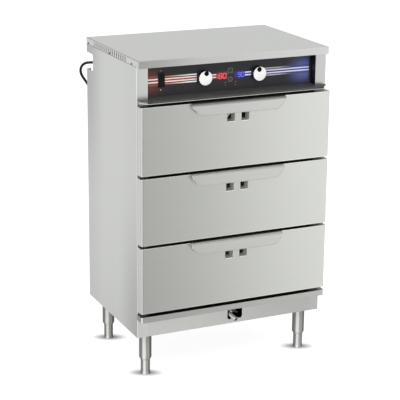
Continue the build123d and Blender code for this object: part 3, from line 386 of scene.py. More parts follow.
@dataclass(frozen=True)
class CoverSteel(BrushedSteel):
    """The top cover, with painted shade: a darker bend along its sides, shadow round the slots and a lip
    darker on the left.
    """

    slots: int = 16
    slot_row: Span = (96.0, 385.0)
    slot_height: Span = (1090.0, 1103.0)
    slot_half: Span = (2.6, 3.6)
    side_edge: Span = (347.8, 349.0)
    bend_height: Span = (1108.8, 1110.2)
    lip_depth: Span = (-17.2, -15.5)
    lip_painted_shade: Span = (-360.0, -100.0)
    sheet_edge: Span = (348.8, 349.2)
    sheet_height: Span = (1110.9, 1111.7)

    def cast(self, x: Value, depth: Value, z: Value) -> Value:
        """Even on the top and black under it as painted shade, with the bend, the slots and the lip set off
        in painted shade.

        Args:
            x: place across the front.
            depth: depth behind the stiles.
            z: height.

        Returns:
            The lightness.
        """
        side = abs(x).rise(*self.side_edge)
        bend = side * z.rise(*self.bend_height) * 0.42
        first, last = self.slot_row
        pitch = (last - first) / (self.slots - 1)
        along = (depth - first) / pitch
        off = abs(along - along.nearest()) * pitch
        row = along.band(-0.3, self.slots - 0.7, 0.05) * z.band(*self.slot_height, 0.6)
        slot = side * row * off.fall(*self.slot_half) * 0.8
        lip = depth.fall(*self.lip_depth)
        shaded = lip * x.fall(*self.lip_painted_shade) * 0.24
        under = z.fall(*self.sheet_height) * abs(x).fall(*self.sheet_edge) * (1 - lip)
        return ((1 - bend) * (1 - slot) - shaded) * (1 - under * 0.92)


@dataclass(frozen=True)
class LedgeSteel(BrushedSteel):
    """The control plate, dark on the recess and the ledge, with painted shade below the ledge and at its
    ends.
    """

    lip_low: Span = (972.6, 973.1)
    ends: Span = (300.0, 308.0)

    def cast(self, x: Value, depth: Value, z: Value) -> Value:
        """Black below the ledge as painted shadow, dark on the ledge, and darker at its ends as painted
        shade.
        """
        below = z.fall(*self.lip_low)
        return (0.50 - abs(x).rise(*self.ends) * 0.16) * (1 - below) + below * 0.03


@dataclass(frozen=True)
class DrawerSteel(BrushedSteel):
    """Drawer fronts with painted shade on their folded sides, darker towards the cabinet, and painted
    highlights along their edges.
    """

    side_edge: Span = (348.8, 349.7)
    root_depth: Span = (-16.0, -1.0)
    corner_depth: Span = (-36.0, -33.0)
    back_depth: Span = (-36.0, -34.0)
    top_rim: Span = (228.5, 229.7)
    low_rim: Span = (3.0, 4.2)
    upper_face: Span = (230.3, 230.7)

    def cast(self, x: Value, depth: Value, z: Value) -> Value:
        """Painted highlights along the upper and lower edge; painted shade on the sides at the stile and on
        the corner, and on the top face in the gap.

        Args:
            x: place across the front.
            depth: depth behind the stiles.
            z: height.

        Returns:
            The lightness.
        """
        side = abs(x).rise(*self.side_edge)
        root = 1 - depth.rise(*self.root_depth) * 0.60
        corner = 1 - depth.fall(*self.corner_depth) * 0.55
        above = drawer_height(z)
        rim_highlight = above.rise(*self.top_rim) + above.fall(*self.low_rim) * 2.0
        back = depth.rise(*self.back_depth)
        gap_shade = above.rise(*self.upper_face) * back
        face = (super().cast(x, depth, z) + rim_highlight * (1 - back) * 0.14) * (1 - gap_shade * 0.7)
        return face * (1 - side) + side * root * corner


@dataclass(frozen=True)
class TrimSteel(BrushedSteel):
    """The bottom trim, with painted shade on its ends and a painted highlight on its rounded corner."""

    corner_edge: Span = (342.5, 345.0)
    corner_depth: Span = (-35.0, -32.0)
    end_edge: Span = (348.8, 349.7)
    upper_face: Span = (240.8, 241.2)
    back_depth: Span = (-36.0, -34.0)

    def cast(self, x: Value, depth: Value, z: Value) -> Value:
        """Painted shade on the end faces and under the drawer, and a painted highlight round the corners.

        Args:
            x: place across the front.
            depth: depth behind the stiles.
            z: height.

        Returns:
            The lightness.
        """
        corner = abs(x).rise(*self.corner_edge) * depth.fall(*self.corner_depth)
        end = abs(x).rise(*self.end_edge) * (1 - corner)
        gap_shade = z.rise(*self.upper_face) * depth.rise(*self.back_depth)
        return super().cast(x, depth, z) * (1 - end * 0.45) * (1 - gap_shade * 0.7) + corner * 0.38


@dataclass(frozen=True)
class HandleSteel(BrushedSteel):
    """Handles, with a painted reflection: dark along the top roll where the ledge or the drawer above would
    be mirrored.
    """

    band: float = 0.45
    roll: Span = (DRAWER_HEIGHT - 10.5, DRAWER_HEIGHT - 3.5)
    flank_front: Span = (-54.2, -53.8)
    flank_back: Span = (-42.0, -40.0)
    flank_edge: Span = (136.0, 140.0)
    flank_top: Span = (219.5, 221.5)

    def cast(self, x: Value, depth: Value, z: Value) -> Value:
        """Painted reflection darkens the last few millimetres below the top of each drawer, and painted light
        lightens the flanks.
        """
        roll = 1 - drawer_height(z).rise(*self.roll) * self.band
        return roll * (1 + self.painted_glow_mask(x, depth, z) * 0.5)

    def painted_glow_mask(self, x: Value, depth: Value, z: Value) -> Optional[Value]:
        """The flanks, which get a painted glow."""
        out = depth.rise(*self.flank_front) * depth.fall(*self.flank_back)
        return out * abs(x).rise(*self.flank_edge) * drawer_height(z).fall(*self.flank_top)


@dataclass(frozen=True)
class TubeSteel(Finish):
    """Drawn tube with painted reflections: upright light and dark stripes that follow the way the surface
    faces, whichever way it is turned.
    """

    tone: Colour = (0.92, 0.92, 0.895)
    # The stripes are painted reflections: lightness against the way the surface faces, from left to right
    stripes: tuple[Span, ...] = (
        (0.00, 0.10), (0.10, 0.26), (0.24, 0.30), (0.32, 1.0), (0.52, 1.0), (0.60, 0.50), (0.80, 0.42),
        (0.88, 0.13), (1.0, 0.08),
    )
    metal: float = 0.25
    # A faint painted glow
    painted_glow: float = 0.07
    marks: Point = (700.0, 700.0, 10.0)

    def paint(self, book: ShaderBook) -> None:
        """Lays a ramp of painted reflection stripes on the way that the surface faces, with drawing marks
        along Z.

        Args:
            book: the tree's book.
        """
        nx, ny, _ = book.split(book.node("ShaderNodeTexCoord", output="Normal"))
        across = (nx * PHOTO_RIGHT[0] + ny * PHOTO_RIGHT[1]) * 0.5 + 0.5
        stops = [(place, (level, level, level, 1.0)) for place, level in self.stripes]
        ramp = book.node("ShaderNodeValToRGB", {"stops": stops}, {"Fac": across})
        marks = book.noise(book.place(), self.marks)
        colour = book.vector("MULTIPLY", ramp, book.tint(self.tone, 0.92 + marks * 0.08))
        book.fix(Metallic=self.metal, Emission_Strength=self.painted_glow)
        book.link(Base_Color=colour, Emission_Color=colour, Roughness=0.42 + marks * 0.08)


@dataclass(frozen=True)
class PolishedSteel(Finish):
    """Bright rod or polished edge, with faint drawing marks along Z."""

    tone: Colour = (0.72, 0.72, 0.71)
    roughness: float = 0.14
    marks: Point = (700.0, 700.0, 10.0)
    smears: Point = (40.0, 40.0, 12.0)

    def paint(self, book: ShaderBook) -> None:
        """Sets a tight gloss that the drawing marks break up a little.

        Args:
            book: the tree's book.
        """
        place = book.place()
        marks, smear = book.noise(place, self.marks), book.noise(place, self.smears)
        book.fix(Metallic=1.0)
        book.link(Base_Color=book.tint(self.tone, 0.95 + marks * 0.1),
                  Roughness=self.roughness + smear * 0.10)


@dataclass(frozen=True)
class PlatedSheet(Finish):
    """Zinc-plated metal with a soft spangle."""

    tone: Colour = (0.52, 0.53, 0.54)
    roughness: float = 0.38
    cells: float = 140.0

    def paint(self, book: ShaderBook) -> None:
        """Takes the spangle from a cell pattern, for the colour and the gloss.

        Args:
            book: the tree's book.
        """
        cells = book.node("ShaderNodeTexVoronoi", {}, {"Vector": book.place(), "Scale": self.cells}, "Color")
        spangle = book.split(cells)[0]
        book.fix(Metallic=1.0)
        book.link(Base_Color=book.tint(self.tone, 0.92 + spangle * 0.14),
                  Roughness=self.roughness + spangle * 0.1)


@dataclass(frozen=True)
class Moulded(Finish):
    """Moulded plastic, rubber or paint with a fine texture, and an optional painted glow."""

    tone: Colour = (0.02, 0.02, 0.021)
    roughness: float = 0.5
    texture: float = 900.0
    depth: float = 0.15
    gloss: float = 0.5
    # A painted glow: emission that lights the piece up though it is no lamp
    painted_glow: float = 0.0
    wear: float = 25.0

    def paint(self, book: ShaderBook) -> None:
        """Sets a pebbled bump, slight changes of colour and gloss, and the painted glow.

        Args:
            book: the tree's book.
        """
        place = book.place()
        pebble, wear = book.noise(place, self.texture, 3.0), book.noise(place, self.wear, 3.0)
        book.fix(Specular_IOR_Level=self.gloss, Emission_Strength=self.painted_glow)
        colour = book.tint(self.tone, 0.85 + wear * 0.3)
        book.link(Base_Color=colour, Emission_Color=colour,
                  Roughness=self.roughness - 0.05 + wear * 0.1, Normal=book.bump(pebble, self.depth, 0.0002))


@dataclass(frozen=True)
class Wool(Finish):
    """A fibrous blanket."""

    tone: Colour = (0.55, 0.45, 0.22)
    fibres: Point = (160.0, 500.0, 160.0)
    lumps: float = 20.0

    def paint(self, book: ShaderBook) -> None:
        """Puts tangled fibres into the colour and a deep bump.

        Args:
            book: the tree's book.
        """
        place = book.place()
        tangle, lumps = book.noise(place, self.fibres, 6.0), book.noise(place, self.lumps)
        book.fix(Sheen_Weight=0.3)
        book.link(Base_Color=book.tint(self.tone, 0.6 + tangle * 0.5 + lumps * 0.2),
                  Roughness=0.85 + tangle * 0.1, Normal=book.bump(tangle + lumps, 0.6, 0.002))


@dataclass(frozen=True)
class CircuitBoard(Finish):
    """A green board with traces, and darker parts standing behind it."""

    board: Span = (62.0, 63.6)
    part_colour: Colour = (0.02, 0.02, 0.022)

    def paint(self, book: ShaderBook) -> None:
        """Lays brick-like traces on the board, and black wherever the depth is past it.

        Args:
            book: the tree's book.
        """
        place = book.place()
        x, _, z = book.split(place)
        traces = book.node("ShaderNodeTexBrick", {}, {
            "Vector": book.node("ShaderNodeCombineXYZ", {}, {0: x, 1: z, 2: 0.0}), "Scale": 90.0,
            "Color1": (0.01, 0.10, 0.03, 1), "Color2": (0.012, 0.14, 0.045, 1),
            "Mortar": (0.16, 0.34, 0.12, 1), "Mortar Size": 0.03}, "Color")
        board = book.spot(place)[1].band(*self.board, 0.3)
        colour = book.mix(board, self.part_colour, traces)
        book.link(Base_Color=colour, Roughness=0.55 - board * 0.15)


@dataclass(frozen=True)
class Glow(Finish):
    """A lit segment or lamp."""

    tone: Colour = (1.0, 0.1, 0.08)
    strength: float = 1.4
    grains: float = 400.0

    def paint(self, book: ShaderBook) -> None:
        """Sets an emission with a slight unevenness over a dull base.

        Args:
            book: the tree's book.
        """
        uneven = book.noise(book.place(), self.grains, 1.0)
        book.fix(Emission_Strength=self.strength, Roughness=0.5)
        book.link(Base_Color=book.tint(self.tone, 0.4 + uneven * 0.1),
                  Emission_Color=book.tint(self.tone, 0.85 + uneven * 0.3))


@dataclass(frozen=True)
class Lens(Finish):
    """The windows of the two displays, lit red by the left one and blue by the right one."""

    warm: Colour = (0.13, 0.010, 0.014)
    cold: Colour = (0.012, 0.014, 0.17)
    grains: float = 120.0
    meeting: float = 4.0

    def paint(self, book: ShaderBook) -> None:
        """Lets the two colours meet between the displays, uneven as light in a lens is.

        Args:
            book: the tree's book.
        """
        place = book.place()
        uneven = 0.8 + book.noise(place, self.grains, 1.0) * 0.3
        change = book.spot(place)[0].rise(-self.meeting, self.meeting)
        colour = book.tint(book.mix(change, self.warm, self.cold), uneven)
        book.fix(Roughness=0.2, Emission_Strength=0.35)
        book.link(Base_Color=colour, Emission_Color=colour)


@dataclass(frozen=True)
class PanelFilm(Finish):
    """The dark printed film of the controls: striped bands, lit ends and key outlines."""

    stripe_height: float = 1031.2
    inner: float = 4.5
    outer: float = 12.0
    stripe_half: float = 1.8
    spread: float = 1.13
    switch: Span = (-262.0, -232.0)
    left: Span = (-303.0, -121.0)
    right: Span = (129.0, 303.0)
    near_left: Span = (-66.0, -49.0)
    near_right: Span = (58.5, 80.0)
    screws: tuple[tuple[float, float], ...] = ((1063.6, 0.22), (1000.3, 0.5))
    screw_x: float = -250.0
    screw_radius: float = 2.4
    marks: tuple[Span, ...] = ((-15.2, 1006.3), (23.0, 1005.8))
    mark_radius: float = 2.0
    keys_x: float = 2.9
    square_key_height: float = 1045.6
    round_key_height: float = 1016.2
    outline: Span = (7.2, 8.3)

    def paint(self, book: ShaderBook) -> None:
        """Prints the glow of the ends and the displays, the stripes, then the small marks.

        Args:
            book: the tree's book.
        """
        place = book.place()
        x, _, z = book.spot(place)
        ground = book.mix(book.noise(place, 60.0) * 0.3, (0.017, 0.017, 0.020), (0.027, 0.027, 0.031))
        ground = self.glows(book, ground, x, z)
        ground = self.stripes(book, ground, x, z)
        for height, level in self.screws:
            screw = self.spot_at(x, z, (self.screw_x, height), self.screw_radius)
            ground = book.mix(screw, ground, (level,) * 3)
        ground = book.mix(self.key_outlines(book, x, z) * 0.55, ground, (0.32, 0.32, 0.34))
        for centre in self.marks:
            ground = book.mix(self.spot_at(x, z, centre, self.mark_radius), ground, (0.26, 0.22, 0.13))
        # The emission is a painted light that lights the whole film a little
        book.fix(Specular_IOR_Level=0.35, Emission_Strength=0.35)
        book.link(Base_Color=ground, Emission_Color=ground,
                  Roughness=0.36 + book.noise(place, 9.0) * 0.08)

    def glows(self, book: ShaderBook, ground: Value, x: Value, z: Value) -> Value:
        """Adds the warm and the cold haze at the ends and the light round the two displays.

        Args:
            book: the tree's book.
            ground: the colour so far.
            x: place along the film.
            z: height on the film.

        Returns:
            The colour with the lights.
        """
        reach = abs(z - self.stripe_height)
        lights = (
            (x.fall(-302.0, -225.0) * reach.fall(8.0, 62.0) * 0.85, (0.17, 0.046, 0.038)),
            (x.rise(205.0, 290.0) * reach.fall(4.0, 60.0), (0.11, 0.13, 0.38)),
            (x.band(-57.0, -10.5, 3.0) * z.band(1020.5, 1038.5, 3.0) * 0.95, (0.17, 0.010, 0.014)),
            (x.band(18.0, 80.0, 5.0) * z.band(1021.0, 1037.5, 3.5) * 0.90, (0.010, 0.014, 0.13)),
        )
        for factor, colour in lights:
            ground = book.mix(factor, ground, colour)
        return ground

    def stripes(self, book: ShaderBook, ground: Value, x: Value, z: Value) -> Value:
        """Prints the bands from the left edge to the first knob and from the second to the right edge.

        Args:
            book: the tree's book.
            ground: the colour so far.
            x: place along the film.
            z: height on the film.

        Returns:
            The colour with the stripes.
        """
        past_switch = x.rise(*self.switch)
        away = abs((z - self.stripe_height) / (self.spread - past_switch * (self.spread - 1.0)))
        inner, outer = (away.band(offset - self.stripe_half, offset + self.stripe_half, 0.7)
                        for offset in (self.inner, self.outer))
        middle = away.band(-1.0, self.inner - self.stripe_half, 0.6)
        left, right, near_left, near_right = (
            x.band(*span, 1.0) for span in (self.left, self.right, self.near_left, self.near_right))
        warm_outer = book.mix(x.rise(-232.0, -125.0), (0.55, 0.16, 0.10), (0.92, 0.90, 0.88))
        cold_outer = book.mix(x.rise(165.0, 245.0), (0.45, 0.45, 0.50), (0.055, 0.055, 0.16))
        prints = (
            (middle * book.maths("MAXIMUM", left, near_left) * 0.9, (0.30, 0.030, 0.022)),
            (middle * right * x.rise(135.0, 215.0) * 0.8, (0.03, 0.03, 0.22)),
            (outer * left * (0.36 + past_switch * 0.6), warm_outer),
            (outer * right * 0.9, cold_outer),
            (inner * left, (0.86, 0.74, 0.72)), (inner * right, (0.70, 0.68, 0.90)),
            (inner * near_left, (0.85, 0.72, 0.66)), (inner * near_right, (0.78, 0.78, 0.92)),
        )
        for factor, colour in prints:
            ground = book.mix(factor, ground, colour)
        return ground

    @staticmethod
    def spot_at(x: Value, z: Value, centre: Span, radius: float) -> Value:
        """A soft round spot: 1 in its middle, 0 at its rim."""
        along, up = (x - centre[0]) / radius, (z - centre[1]) / radius
        return (along * along + up * up).fall(0.25, 1.1)

    def key_outlines(self, book: ShaderBook, x: Value, z: Value) -> Value:
        """Draws the outlines round the two keys: a square above and a ring below.

        Args:
            book: the tree's book.
            x: place along the film.
            z: height on the film.

        Returns:
            1 on the lines.
        """
        across, down = x - self.keys_x, z - self.round_key_height
        square = book.maths("MAXIMUM", abs(across), abs(z - self.square_key_height))
        ring = (across * across + down * down).root()
        return book.maths("MAXIMUM", square.band(*self.outline, 0.5), ring.band(*self.outline, 0.5))


# The finishes of this cabinet
BACK_STEEL = BrushedSteel("sheet brushed upwards", grain=Grain.ALONG_Z)
SIDE_STEEL = SideSteel("side sheet", grain=Grain.ALONG_Z, tone=(0.62, 0.62, 0.608))
# Painted shade: the drawer fronts grow lighter from left to right
FRONT_STEEL = DrawerSteel("drawer sheet", left=0.92, right=1.09)
# The band of painted reflection is stronger on the top handle, under the ledge
TOP_HANDLE_STEEL = HandleSteel("top handle sheet", band=0.62)
HANDLE_STEEL = HandleSteel("handle sheet", band=0.25)
COVER_STEEL = CoverSteel("cover sheet", tone=(0.62, 0.62, 0.612))
# Painted shade: the trim is darker, a little more on the right
TRIM_STEEL = TrimSteel("trim sheet", left=0.83, right=0.80)
# Painted shade: the skirt grows darker from left to right
SKIRT_STEEL = BrushedSteel("skirt sheet", grain=Grain.ALONG_Z, tone=(0.74, 0.74, 0.72), roughness=0.42,
                           left=1.05, right=0.74)
LEDGE_STEEL = LedgeSteel("ledge steel", tone=(0.14, 0.137, 0.133), roughness=0.5, metal=0.2)
INNER_STEEL = BrushedSteel("inner sheet", grain=Grain.ALONG_Y, tone=(0.5, 0.5, 0.49), roughness=0.36)
PAN_STEEL = BrushedSteel("pan steel", tone=(0.66, 0.66, 0.65), roughness=0.24)
# A painted highlight: a pale, glowing finish on the ledge's rolled hem
HEM_HIGHLIGHT = Moulded("ledge hem", tone=(0.60, 0.60, 0.58), roughness=0.4, painted_glow=0.35)
# A painted highlight: a pale, glowing finish on the turned lip under each vent window
LIP_HIGHLIGHT = Moulded("turned window lip", tone=(0.85, 0.85, 0.84), roughness=0.4, painted_glow=0.15)
BRIGHT_EDGE = PolishedSteel("bright folded edge", tone=(0.85, 0.85, 0.84), roughness=0.28)
# Painted reflections: light and dark upright stripes on the legs and the handle rims
LEG_STEEL = TubeSteel("leg tube")
RIM_STEEL = TubeSteel("handle rim", painted_glow=0.1, stripes=(
    (0.0, 1.0), (0.5, 1.0), (0.71, 0.58), (0.85, 0.3), (1.0, 0.15)))
ROD_STEEL = PolishedSteel("bright rod", tone=(0.60, 0.60, 0.585), roughness=0.16)
SCREW_STEEL = PolishedSteel("screw head", tone=(0.16, 0.16, 0.16), roughness=0.4)
VALVE_METAL = PolishedSteel("plated valve", tone=(0.85, 0.85, 0.83), roughness=0.24)
ZINC = PlatedSheet("zinc sheet")
# A painted shadow: a dark line along the seam under the cover's sides
SEAM_SHADOW = Moulded("seam shadow line", tone=(0.12, 0.12, 0.118))
# Painted shade: the cross rails are made black to stand for the shade in the gaps between the drawers
RAIL_SHADE = Moulded("rail black for gap shade", tone=(0.012, 0.012, 0.012), roughness=0.55)
GASKET = Moulded("gasket rubber", tone=(0.012, 0.012, 0.012), roughness=0.75, texture=400.0)
BLACK = Moulded("black moulding", tone=(0.012, 0.012, 0.013), roughness=0.34)
JACKET = Moulded("cord jacket", tone=(0.008, 0.008, 0.008), roughness=0.42, texture=500.0, gloss=0.2)
# The knob face's glow is painted light
KNOB_FACE = Moulded("knob face", tone=(0.95, 0.95, 0.95), roughness=0.35, texture=300.0, depth=0.05,
                    painted_glow=0.24)
HOUSING = Moulded("switch housing", tone=(0.020, 0.020, 0.022), roughness=0.42, gloss=0.3)
DIMPLE_BLACK = Moulded("rocker black", tone=(0.004, 0.004, 0.004), depth=0.05, gloss=0.08)
ROCKER_FACE = Moulded("rocker face", tone=(0.010, 0.011, 0.010), gloss=0.12)
KEY_CAP = Moulded("key cap", tone=(0.055, 0.055, 0.06), roughness=0.4)
LEVER_COAT = Moulded("dipped lever", tone=(0.05, 0.05, 0.055), roughness=0.35, texture=200.0)
# The liner's glow is painted light, for the holes behind the vent windows
CORE = Moulded("coated core", tone=(0.42, 0.42, 0.40), roughness=0.6, painted_glow=0.16)
# The damper's glow is painted light
DAMPER_STEEL = Moulded("damper sheet", tone=(0.34, 0.34, 0.325), painted_glow=0.30)
LENS = Lens("display lens")
RED_LIGHT = Glow("red segment", tone=(1.0, 0.10, 0.12), strength=1.1)
BLUE_LIGHT = Glow("blue segment", tone=(0.14, 0.16, 1.0), strength=1.1)
AMBER_LIGHT = Glow("amber lamp", tone=(0.20, 0.035, 0.02), strength=0.4)
FILM = PanelFilm("printed film")
WOOL = Wool("blanket")
BOARD = CircuitBoard("circuit board")


def new_object(name: str, data: bpy.types.ID) -> bpy.types.Object:
    """Puts an object with its data into the scene."""
    made = bpy.data.objects.new(name, data)
    bpy.context.scene.collection.objects.link(made)
    return made


class Workshop:
    """Makes and dresses pieces; every place that it takes is in millimetres."""

    def dress(self, node: str, finish: Finish) -> None:
        """Gives a CAD node that keeps its own shape a finish."""
        for seat in frame["nodes"][node].material_slots:
            seat.material = finish.material()

    def body_of(self, node: str) -> str:
        """The body that a CAD node belongs to."""
        return frame["nodes"][node]["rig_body"]

    def soften(self, node: str, finish: Finish, edge: float) -> None:
        """Replaces a CAD node by a copy with broken edges and smooth curves.

        Args:
            node: the CAD node.
            finish: its finish.
            edge: width of the broken edges.
        """
        work = bmesh.new()
        work.from_mesh(frame["nodes"][node].data)
        bmesh.ops.remove_doubles(work, verts=work.verts, dist=2e-6)
        bmesh.ops.dissolve_limit(work, angle_limit=math.radians(0.4), verts=work.verts,
                                 edges=work.edges)
        piece = self.finish_mesh(f"{node}_shown", work, finish, self.body_of(node))
        self.break_edges(piece, edge)
        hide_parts(node)

    def finish_mesh(self, name: str, work: bmesh.types.BMesh, finish: Finish, body: str) -> bpy.types.Object:
        """Turns mesh work into a piece that rides on a body.

        Args:
            name: the piece's name.
            work: the mesh work, which is used up.
            finish: its finish.
            body: the body it rides on.

        Returns:
            The new piece.
        """
        for face in work.faces:
            face.smooth = True
        mesh = bpy.data.meshes.new(name)
        work.to_mesh(mesh)
        work.free()
        stored = mesh.attributes.get("custom_normal")
        if stored is not None:
            mesh.attributes.remove(stored)
        mesh.set_sharp_from_angle(angle=SHARP_ANGLE)
        mesh.materials.clear()
        mesh.materials.append(finish.material())
        piece = new_object(name, mesh)
        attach(piece, body)
        return piece

    def break_edges(self, piece: bpy.types.Object, width: float) -> None:
        """Adds a small round to every sharp edge.

        Args:
            piece: the piece.
            width: width of the round.
        """
        bevel = piece.modifiers.new("broken edges", "BEVEL")
        bevel.width = width * MM
        bevel.segments = 2
        bevel.limit_method = "ANGLE"
        bevel.angle_limit = SHARP_ANGLE
        bevel.use_clamp_overlap = True
        bevel.harden_normals = False
        normals = piece.modifiers.new("even normals", "WEIGHTED_NORMAL")
        normals.keep_sharp = True

    def lathe(self, name: str, profile: Sequence[Span], origin: Point, along: Point,
              finish: Finish, body: str, steps: int = 48) -> bpy.types.Object:
        """Turns a profile round an axis.

        Args:
            name: the piece's name.
            profile: radius and distance along the axis, point by point.
            origin: where distance 0 lies.
            along: direction of the axis.
            finish: its finish.
            body: the body it rides on.
            steps: facets round the axis.

        Returns:
            The new piece.
        """
        work = bmesh.new()
        turn = Vector((0, 0, 1)).rotation_difference(Vector(along))
        rings = []
        for radius, distance in profile:
            ring = []
            for step in range(steps):
                angle = math.tau * step / steps
                point = turn @ Vector((radius * math.cos(angle), radius * math.sin(angle), distance))
                ring.append(work.verts.new((point + Vector(origin)) * MM))
            rings.append(ring)
        for low, high in zip(rings, rings[1:]):
            self.wall(work, low, high)
        work.faces.new(list(reversed(rings[0])))
        work.faces.new(rings[-1])
        bmesh.ops.remove_doubles(work, verts=work.verts, dist=1e-6)
        bmesh.ops.recalc_face_normals(work, faces=work.faces)
        return self.finish_mesh(name, work, finish, body)

    def wall(self, work: bmesh.types.BMesh, low: Sequence, high: Sequence) -> None:
        """Joins two rings of vertices by a wall of faces."""
        for n, vertex in enumerate(low):
            after = (n + 1) % len(low)
            work.faces.new((vertex, low[after], high[after], high[n]))

    def prism(self, work: bmesh.types.BMesh, outline: Sequence[Span], depths: Span) -> None:
        """Adds a flat solid to mesh work.

        Args:
            work: the mesh work.
            outline: X and Z points round it.
            depths: depth of its front and of its back.
        """
        front, back = ([work.verts.new((x * MM, behind(depth) * MM, z * MM)) for x, z in outline]
                       for depth in depths)
        work.faces.new(front)
        work.faces.new(list(reversed(back)))
        self.wall(work, front, back)
        bmesh.ops.recalc_face_normals(work, faces=work.faces)

    def strand(self, name: str, points: Sequence[Point], radius: float, finish: Finish, body: str,
               kind: str = "POLY", rounds: int = 3) -> bpy.types.Object:
        """Draws a round bead, or a smooth cord, through points.

        Args:
            name: the piece's name.
            points: its middle line.
            radius: its radius.
            finish: its finish.
            body: the body it rides on.
            kind: kind of spline, POLY for a bead and NURBS for a cord.
            rounds: fineness of its section.

        Returns:
            The new piece.
        """
        curve = bpy.data.curves.new(name, "CURVE")
        curve.dimensions = "3D"
        curve.bevel_depth = radius * MM
        curve.bevel_resolution = rounds
        curve.use_fill_caps = True
        spline = curve.splines.new(kind)
        spline.points.add(len(points) - 1)
        for knot, point in zip(spline.points, points):
            knot.co = (*(Vector(point) * MM), 1.0)
        if kind == "NURBS":
            curve.resolution_u = 8
            spline.order_u = 3
            spline.use_endpoint_u = True
        curve.materials.append(finish.material())
        piece = new_object(name, curve)
        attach(piece, body)
        return piece


shop = Workshop()


@dataclass
class Studio:
    """The floor, the light and the camera."""

    camera_place: Point = (-2020.1, -4307.3, 1977.7)
    yaw: float = -24.834
    pitch: float = -15.514
    roll: float = 0.533
    focal_pixels: float = 1401.95
    frame_pixels: float = 400.0
    axis_drop_pixels: float = -30.0
    sensor: float = 36.0
    floor_size: float = 9.0
    floor_glow: float = 0.83
    leg_x: float = 299.0
    leg_depths: Span = (51.0, 403.5)
    shade_size: Span = (78.0, 40.0)
    shade_depth: float = 0.75
    lamp_place: Point = (-0.6, -2.2, 3.4)
    lamp_target: Point = (0.0, 0.0, 0.6)
    lamp_size: Span = (2.4, 1.8)
    lamp_power: float = 40.0

    def build(self) -> None:
        """Places everything that isn't part of the cabinet."""
        self.camera()
        self.world()
        self.floor()
        self.lamp()
        bpy.context.scene.view_settings.view_transform = "Standard"
        log.info("studio ready")

    def camera(self) -> None:
        """Sets the camera at the photograph's viewpoint."""
        data = bpy.data.cameras.new("camera")
        data.sensor_width = self.sensor
        data.lens = self.sensor * self.focal_pixels / self.frame_pixels
        data.shift_y = self.axis_drop_pixels / self.frame_pixels
        data.clip_end = 60.0
        eye = new_object("camera", data)
        yaw, pitch = math.radians(self.yaw), math.radians(self.pitch)
        level = math.cos(pitch)
        forward = Vector((-math.sin(yaw) * level, math.cos(yaw) * level, math.sin(pitch)))
        rolled = Quaternion(forward, -math.radians(self.roll))
        eye.rotation_mode = "QUATERNION"
        eye.rotation_quaternion = rolled @ forward.to_track_quat("-Z", "Y")
        eye.location = Vector(self.camera_place) * MM
        bpy.context.scene.camera = eye

    def world(self) -> None:
        """Makes a room that is white to the camera, with soft light and shade for the metal."""
        world = bpy.data.worlds.new("room")
        world.use_nodes = True
        bpy.context.scene.world = world
        book = ShaderBook(world.node_tree)
        x, y, z = book.split(book.node("ShaderNodeTexCoord", output="Generated"))
        front = (0 - y).rise(0.0, 0.4)
        low = (0 - z).rise(0.34, 0.46)
        slope = book.node("ShaderNodeMapRange", {}, {"Value": x, "From Min": 0.22, "From Max": 0.60,
                                                     "To Min": 0.05, "To Max": 1.84})
        boxes = x.fall(-0.40, -0.12) * 0.45 + x.fall(-0.02, 0.17) * 0.78 - x.rise(0.57, 0.69) * 0.85
        ahead = (slope + boxes) * (1 - low * 0.2)
        beyond = 0.98 - low * 0.5 - z.rise(-0.1, 0.15) * 0.15
        room = beyond * (1 - front) + front * ahead
        camera_ray = book.node("ShaderNodeLightPath", output="Is Camera Ray")
        strength = book.maths("MAXIMUM", room, camera_ray)
        colour = book.mix(camera_ray, (0.985, 1.0, 0.985), (1, 1, 1))
        back = next(node for node in world.node_tree.nodes if node.type == "BACKGROUND")
        world.node_tree.links.new(strength.socket, back.inputs["Strength"])
        world.node_tree.links.new(colour.socket, back.inputs["Color"])

    def floor(self) -> None:
        """Lays a pale floor that keeps the soft shadows of the feet, darkened further by painted shadow
        patches under them.
        """
        work = bmesh.new()
        bmesh.ops.create_grid(work, x_segments=4, y_segments=4, size=self.floor_size)
        mesh = bpy.data.meshes.new("floor")
        work.to_mesh(mesh)
        work.free()
        new_object("floor", mesh)
        made = bpy.data.materials.new("floor")
        made.use_nodes = True
        made.node_tree.nodes.clear()
        book = ShaderBook(made.node_tree)
        path = book.node("ShaderNodeLightPath").socket.node
        matt = book.node("ShaderNodeBsdfDiffuse", {}, {"Color": (0.36, 0.36, 0.36, 1)})
        light = book.node("ShaderNodeEmission", {}, {"Color": (1, 1, 1, 1),
                                                     "Strength": self.floor_glow - self.foot_shade(book)})
        seen = book.node("ShaderNodeAddShader", {}, {0: matt, 1: light})
        clear = book.node("ShaderNodeBsdfTransparent")
        glossy, camera = (Value(book, path.outputs[ray]) for ray in ("Is Glossy Ray", "Is Camera Ray"))
        other = book.node("ShaderNodeMixShader", {}, {0: glossy, 1: matt, 2: clear})
        result = book.node("ShaderNodeMixShader", {}, {0: camera, 1: other, 2: seen})
        end = book.tree.nodes.new("ShaderNodeOutputMaterial")
        book.tree.links.new(result.socket, end.inputs["Surface"])
        mesh.materials.append(made)

    def foot_shade(self, book: ShaderBook) -> Value:
        """Paints soft dark patches on the floor under the four feet.

        Args:
            book: the floor's book.

        Returns:
            How much light they take away.
        """
        x, depth, _ = book.spot(book.place())
        right_x, right_y = PHOTO_RIGHT
        shade = 0.0
        for foot_x in (-self.leg_x, self.leg_x):
            for foot_depth in self.leg_depths:
                out, back = x - foot_x, depth - foot_depth
                along = (out * right_x + back * right_y) / self.shade_size[0]
                away = (back * right_x - out * right_y) / self.shade_size[1]
                shade = (along * along + away * away).root().fall(0.15, 1.0) * self.shade_depth + shade
        return shade

